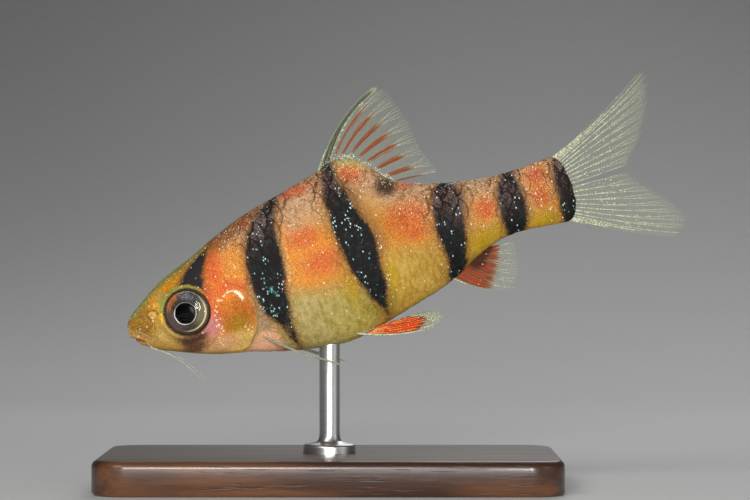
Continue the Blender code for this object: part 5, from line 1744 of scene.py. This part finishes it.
# Stage, lights and camera
STAGE_FRONT = -400.0
STAGE_BEND = 150.0
STAGE_BEND_RADIUS = 200.0
STAGE_TOP = 700.0
STAGE_HALF_WIDTH = 700.0
MODEL_MIDDLE = (0.003, 0.0, 0.02)
LIGHTS = (
    ("flash", (-0.04, -0.36, 0.07), 0.09, 0.72, (1.0, 0.985, 0.95)),
    ("key", (-0.16, -0.24, 0.22), 0.14, 0.23, (1.0, 1.0, 1.0)),
    ("low", (0.06, -0.30, 0.013), 0.03, 0.22, (1.0, 1.0, 1.0)),
    ("fill", (0.28, -0.16, 0.06), 0.2, 0.10, (1.0, 1.0, 1.0)),
    ("rim", (0.05, 0.24, 0.2), 0.2, 0.2, (1.0, 1.0, 1.0)),
    ("behind", (-0.06, 0.42, 0.10), 0.12, 0.35, (1.0, 1.0, 1.0)),
)
SKY_COLOUR = (0.95, 0.97, 1.0, 1.0)
SKY_STRENGTH = 0.10
CAMERA_PLACE = (0.003956, -0.28, 0.020695)
CAMERA_LENS = 154.0


def floor_material():
    """Pale in front and grey behind, and clear from the outer side."""
    n = Nodes("pale_floor")
    place = n.add("TexCoord", {}, "Object")
    fine = n.noise(place, 900.0, 3.0)
    pale = n.mix(fine, (0.78, 0.79, 0.78), (0.82, 0.83, 0.82))
    grey = n.mix(fine, (0.20, 0.205, 0.20), (0.22, 0.225, 0.22))
    colour = n.mix(n.step(n.parts(place)[1], 0.10, 0.32), pale, grey)
    inner_side = n.add("NewGeometry", {}, "Backfacing")
    return n.finish(Base_Color=colour, Roughness=n.total((fine, 0.1), start=0.6), Alpha=inner_side)


def make_stage():
    """A floor that curves up behind into a backdrop."""
    profile = [(STAGE_FRONT, 0.0), (STAGE_BEND, 0.0)]
    for turn in np.linspace(0, math.pi / 2, 24)[1:]:
        y = STAGE_BEND + STAGE_BEND_RADIUS * math.sin(turn)
        profile.append((y, STAGE_BEND_RADIUS * (1 - math.cos(turn))))
    profile.append((STAGE_BEND + STAGE_BEND_RADIUS, STAGE_TOP))
    xs = np.linspace(-STAGE_HALF_WIDTH, STAGE_HALF_WIDTH, 9)
    points = np.array([[(x, y, z) for x in xs] for y, z in profile])
    faces = [grid_faces(*points.shape[:2])]
    floor = build("floor", points.reshape(-1, 3), faces, floor_material(), None, fish=False)


def make_lights():
    for name, place, size, power, colour in LIGHTS:
        lamp = bpy.data.lights.new(name, "AREA")
        lamp.shape = "DISK"
        lamp.size = size
        lamp.energy = power
        lamp.color = colour
        obj = bpy.data.objects.new(name, lamp)
        obj.location = place
        aim = Vector(MODEL_MIDDLE) - Vector(place)
        obj.rotation_euler = aim.to_track_quat("-Z", "Y").to_euler()
        bpy.context.scene.collection.objects.link(obj)
    world = bpy.data.worlds.new("studio")
    bpy.context.scene.world = world
    world.use_nodes = True
    sky = world.node_tree.nodes["Background"]
    sky.inputs["Color"].default_value = SKY_COLOUR
    sky.inputs["Strength"].default_value = SKY_STRENGTH
    bpy.context.scene.view_settings.view_transform = "Standard"


def make_camera():
    lens = bpy.data.cameras.new("photo_camera")
    lens.sensor_width = 36.0
    lens.lens = CAMERA_LENS
    lens.clip_start = 0.01
    lens.clip_end = 5.0
    camera = bpy.data.objects.new("photo_camera", lens)
    camera.location = CAMERA_PLACE
    camera.rotation_euler = (math.pi / 2, 0.0, 0.0)
    bpy.context.scene.collection.objects.link(camera)
    bpy.context.scene.camera = camera


def main():
    skin = skin_material()
    make_skin(skin)
    make_scales(skin)
    make_eyes(iris_material(), cornea_material())
    fin = fin_material()
    make_middle_fins(fin)
    make_paired_fins(fin)
    make_barbels(barbel_material())
    make_base()
    make_rod()
    make_stage()
    make_lights()
    make_camera()


main()
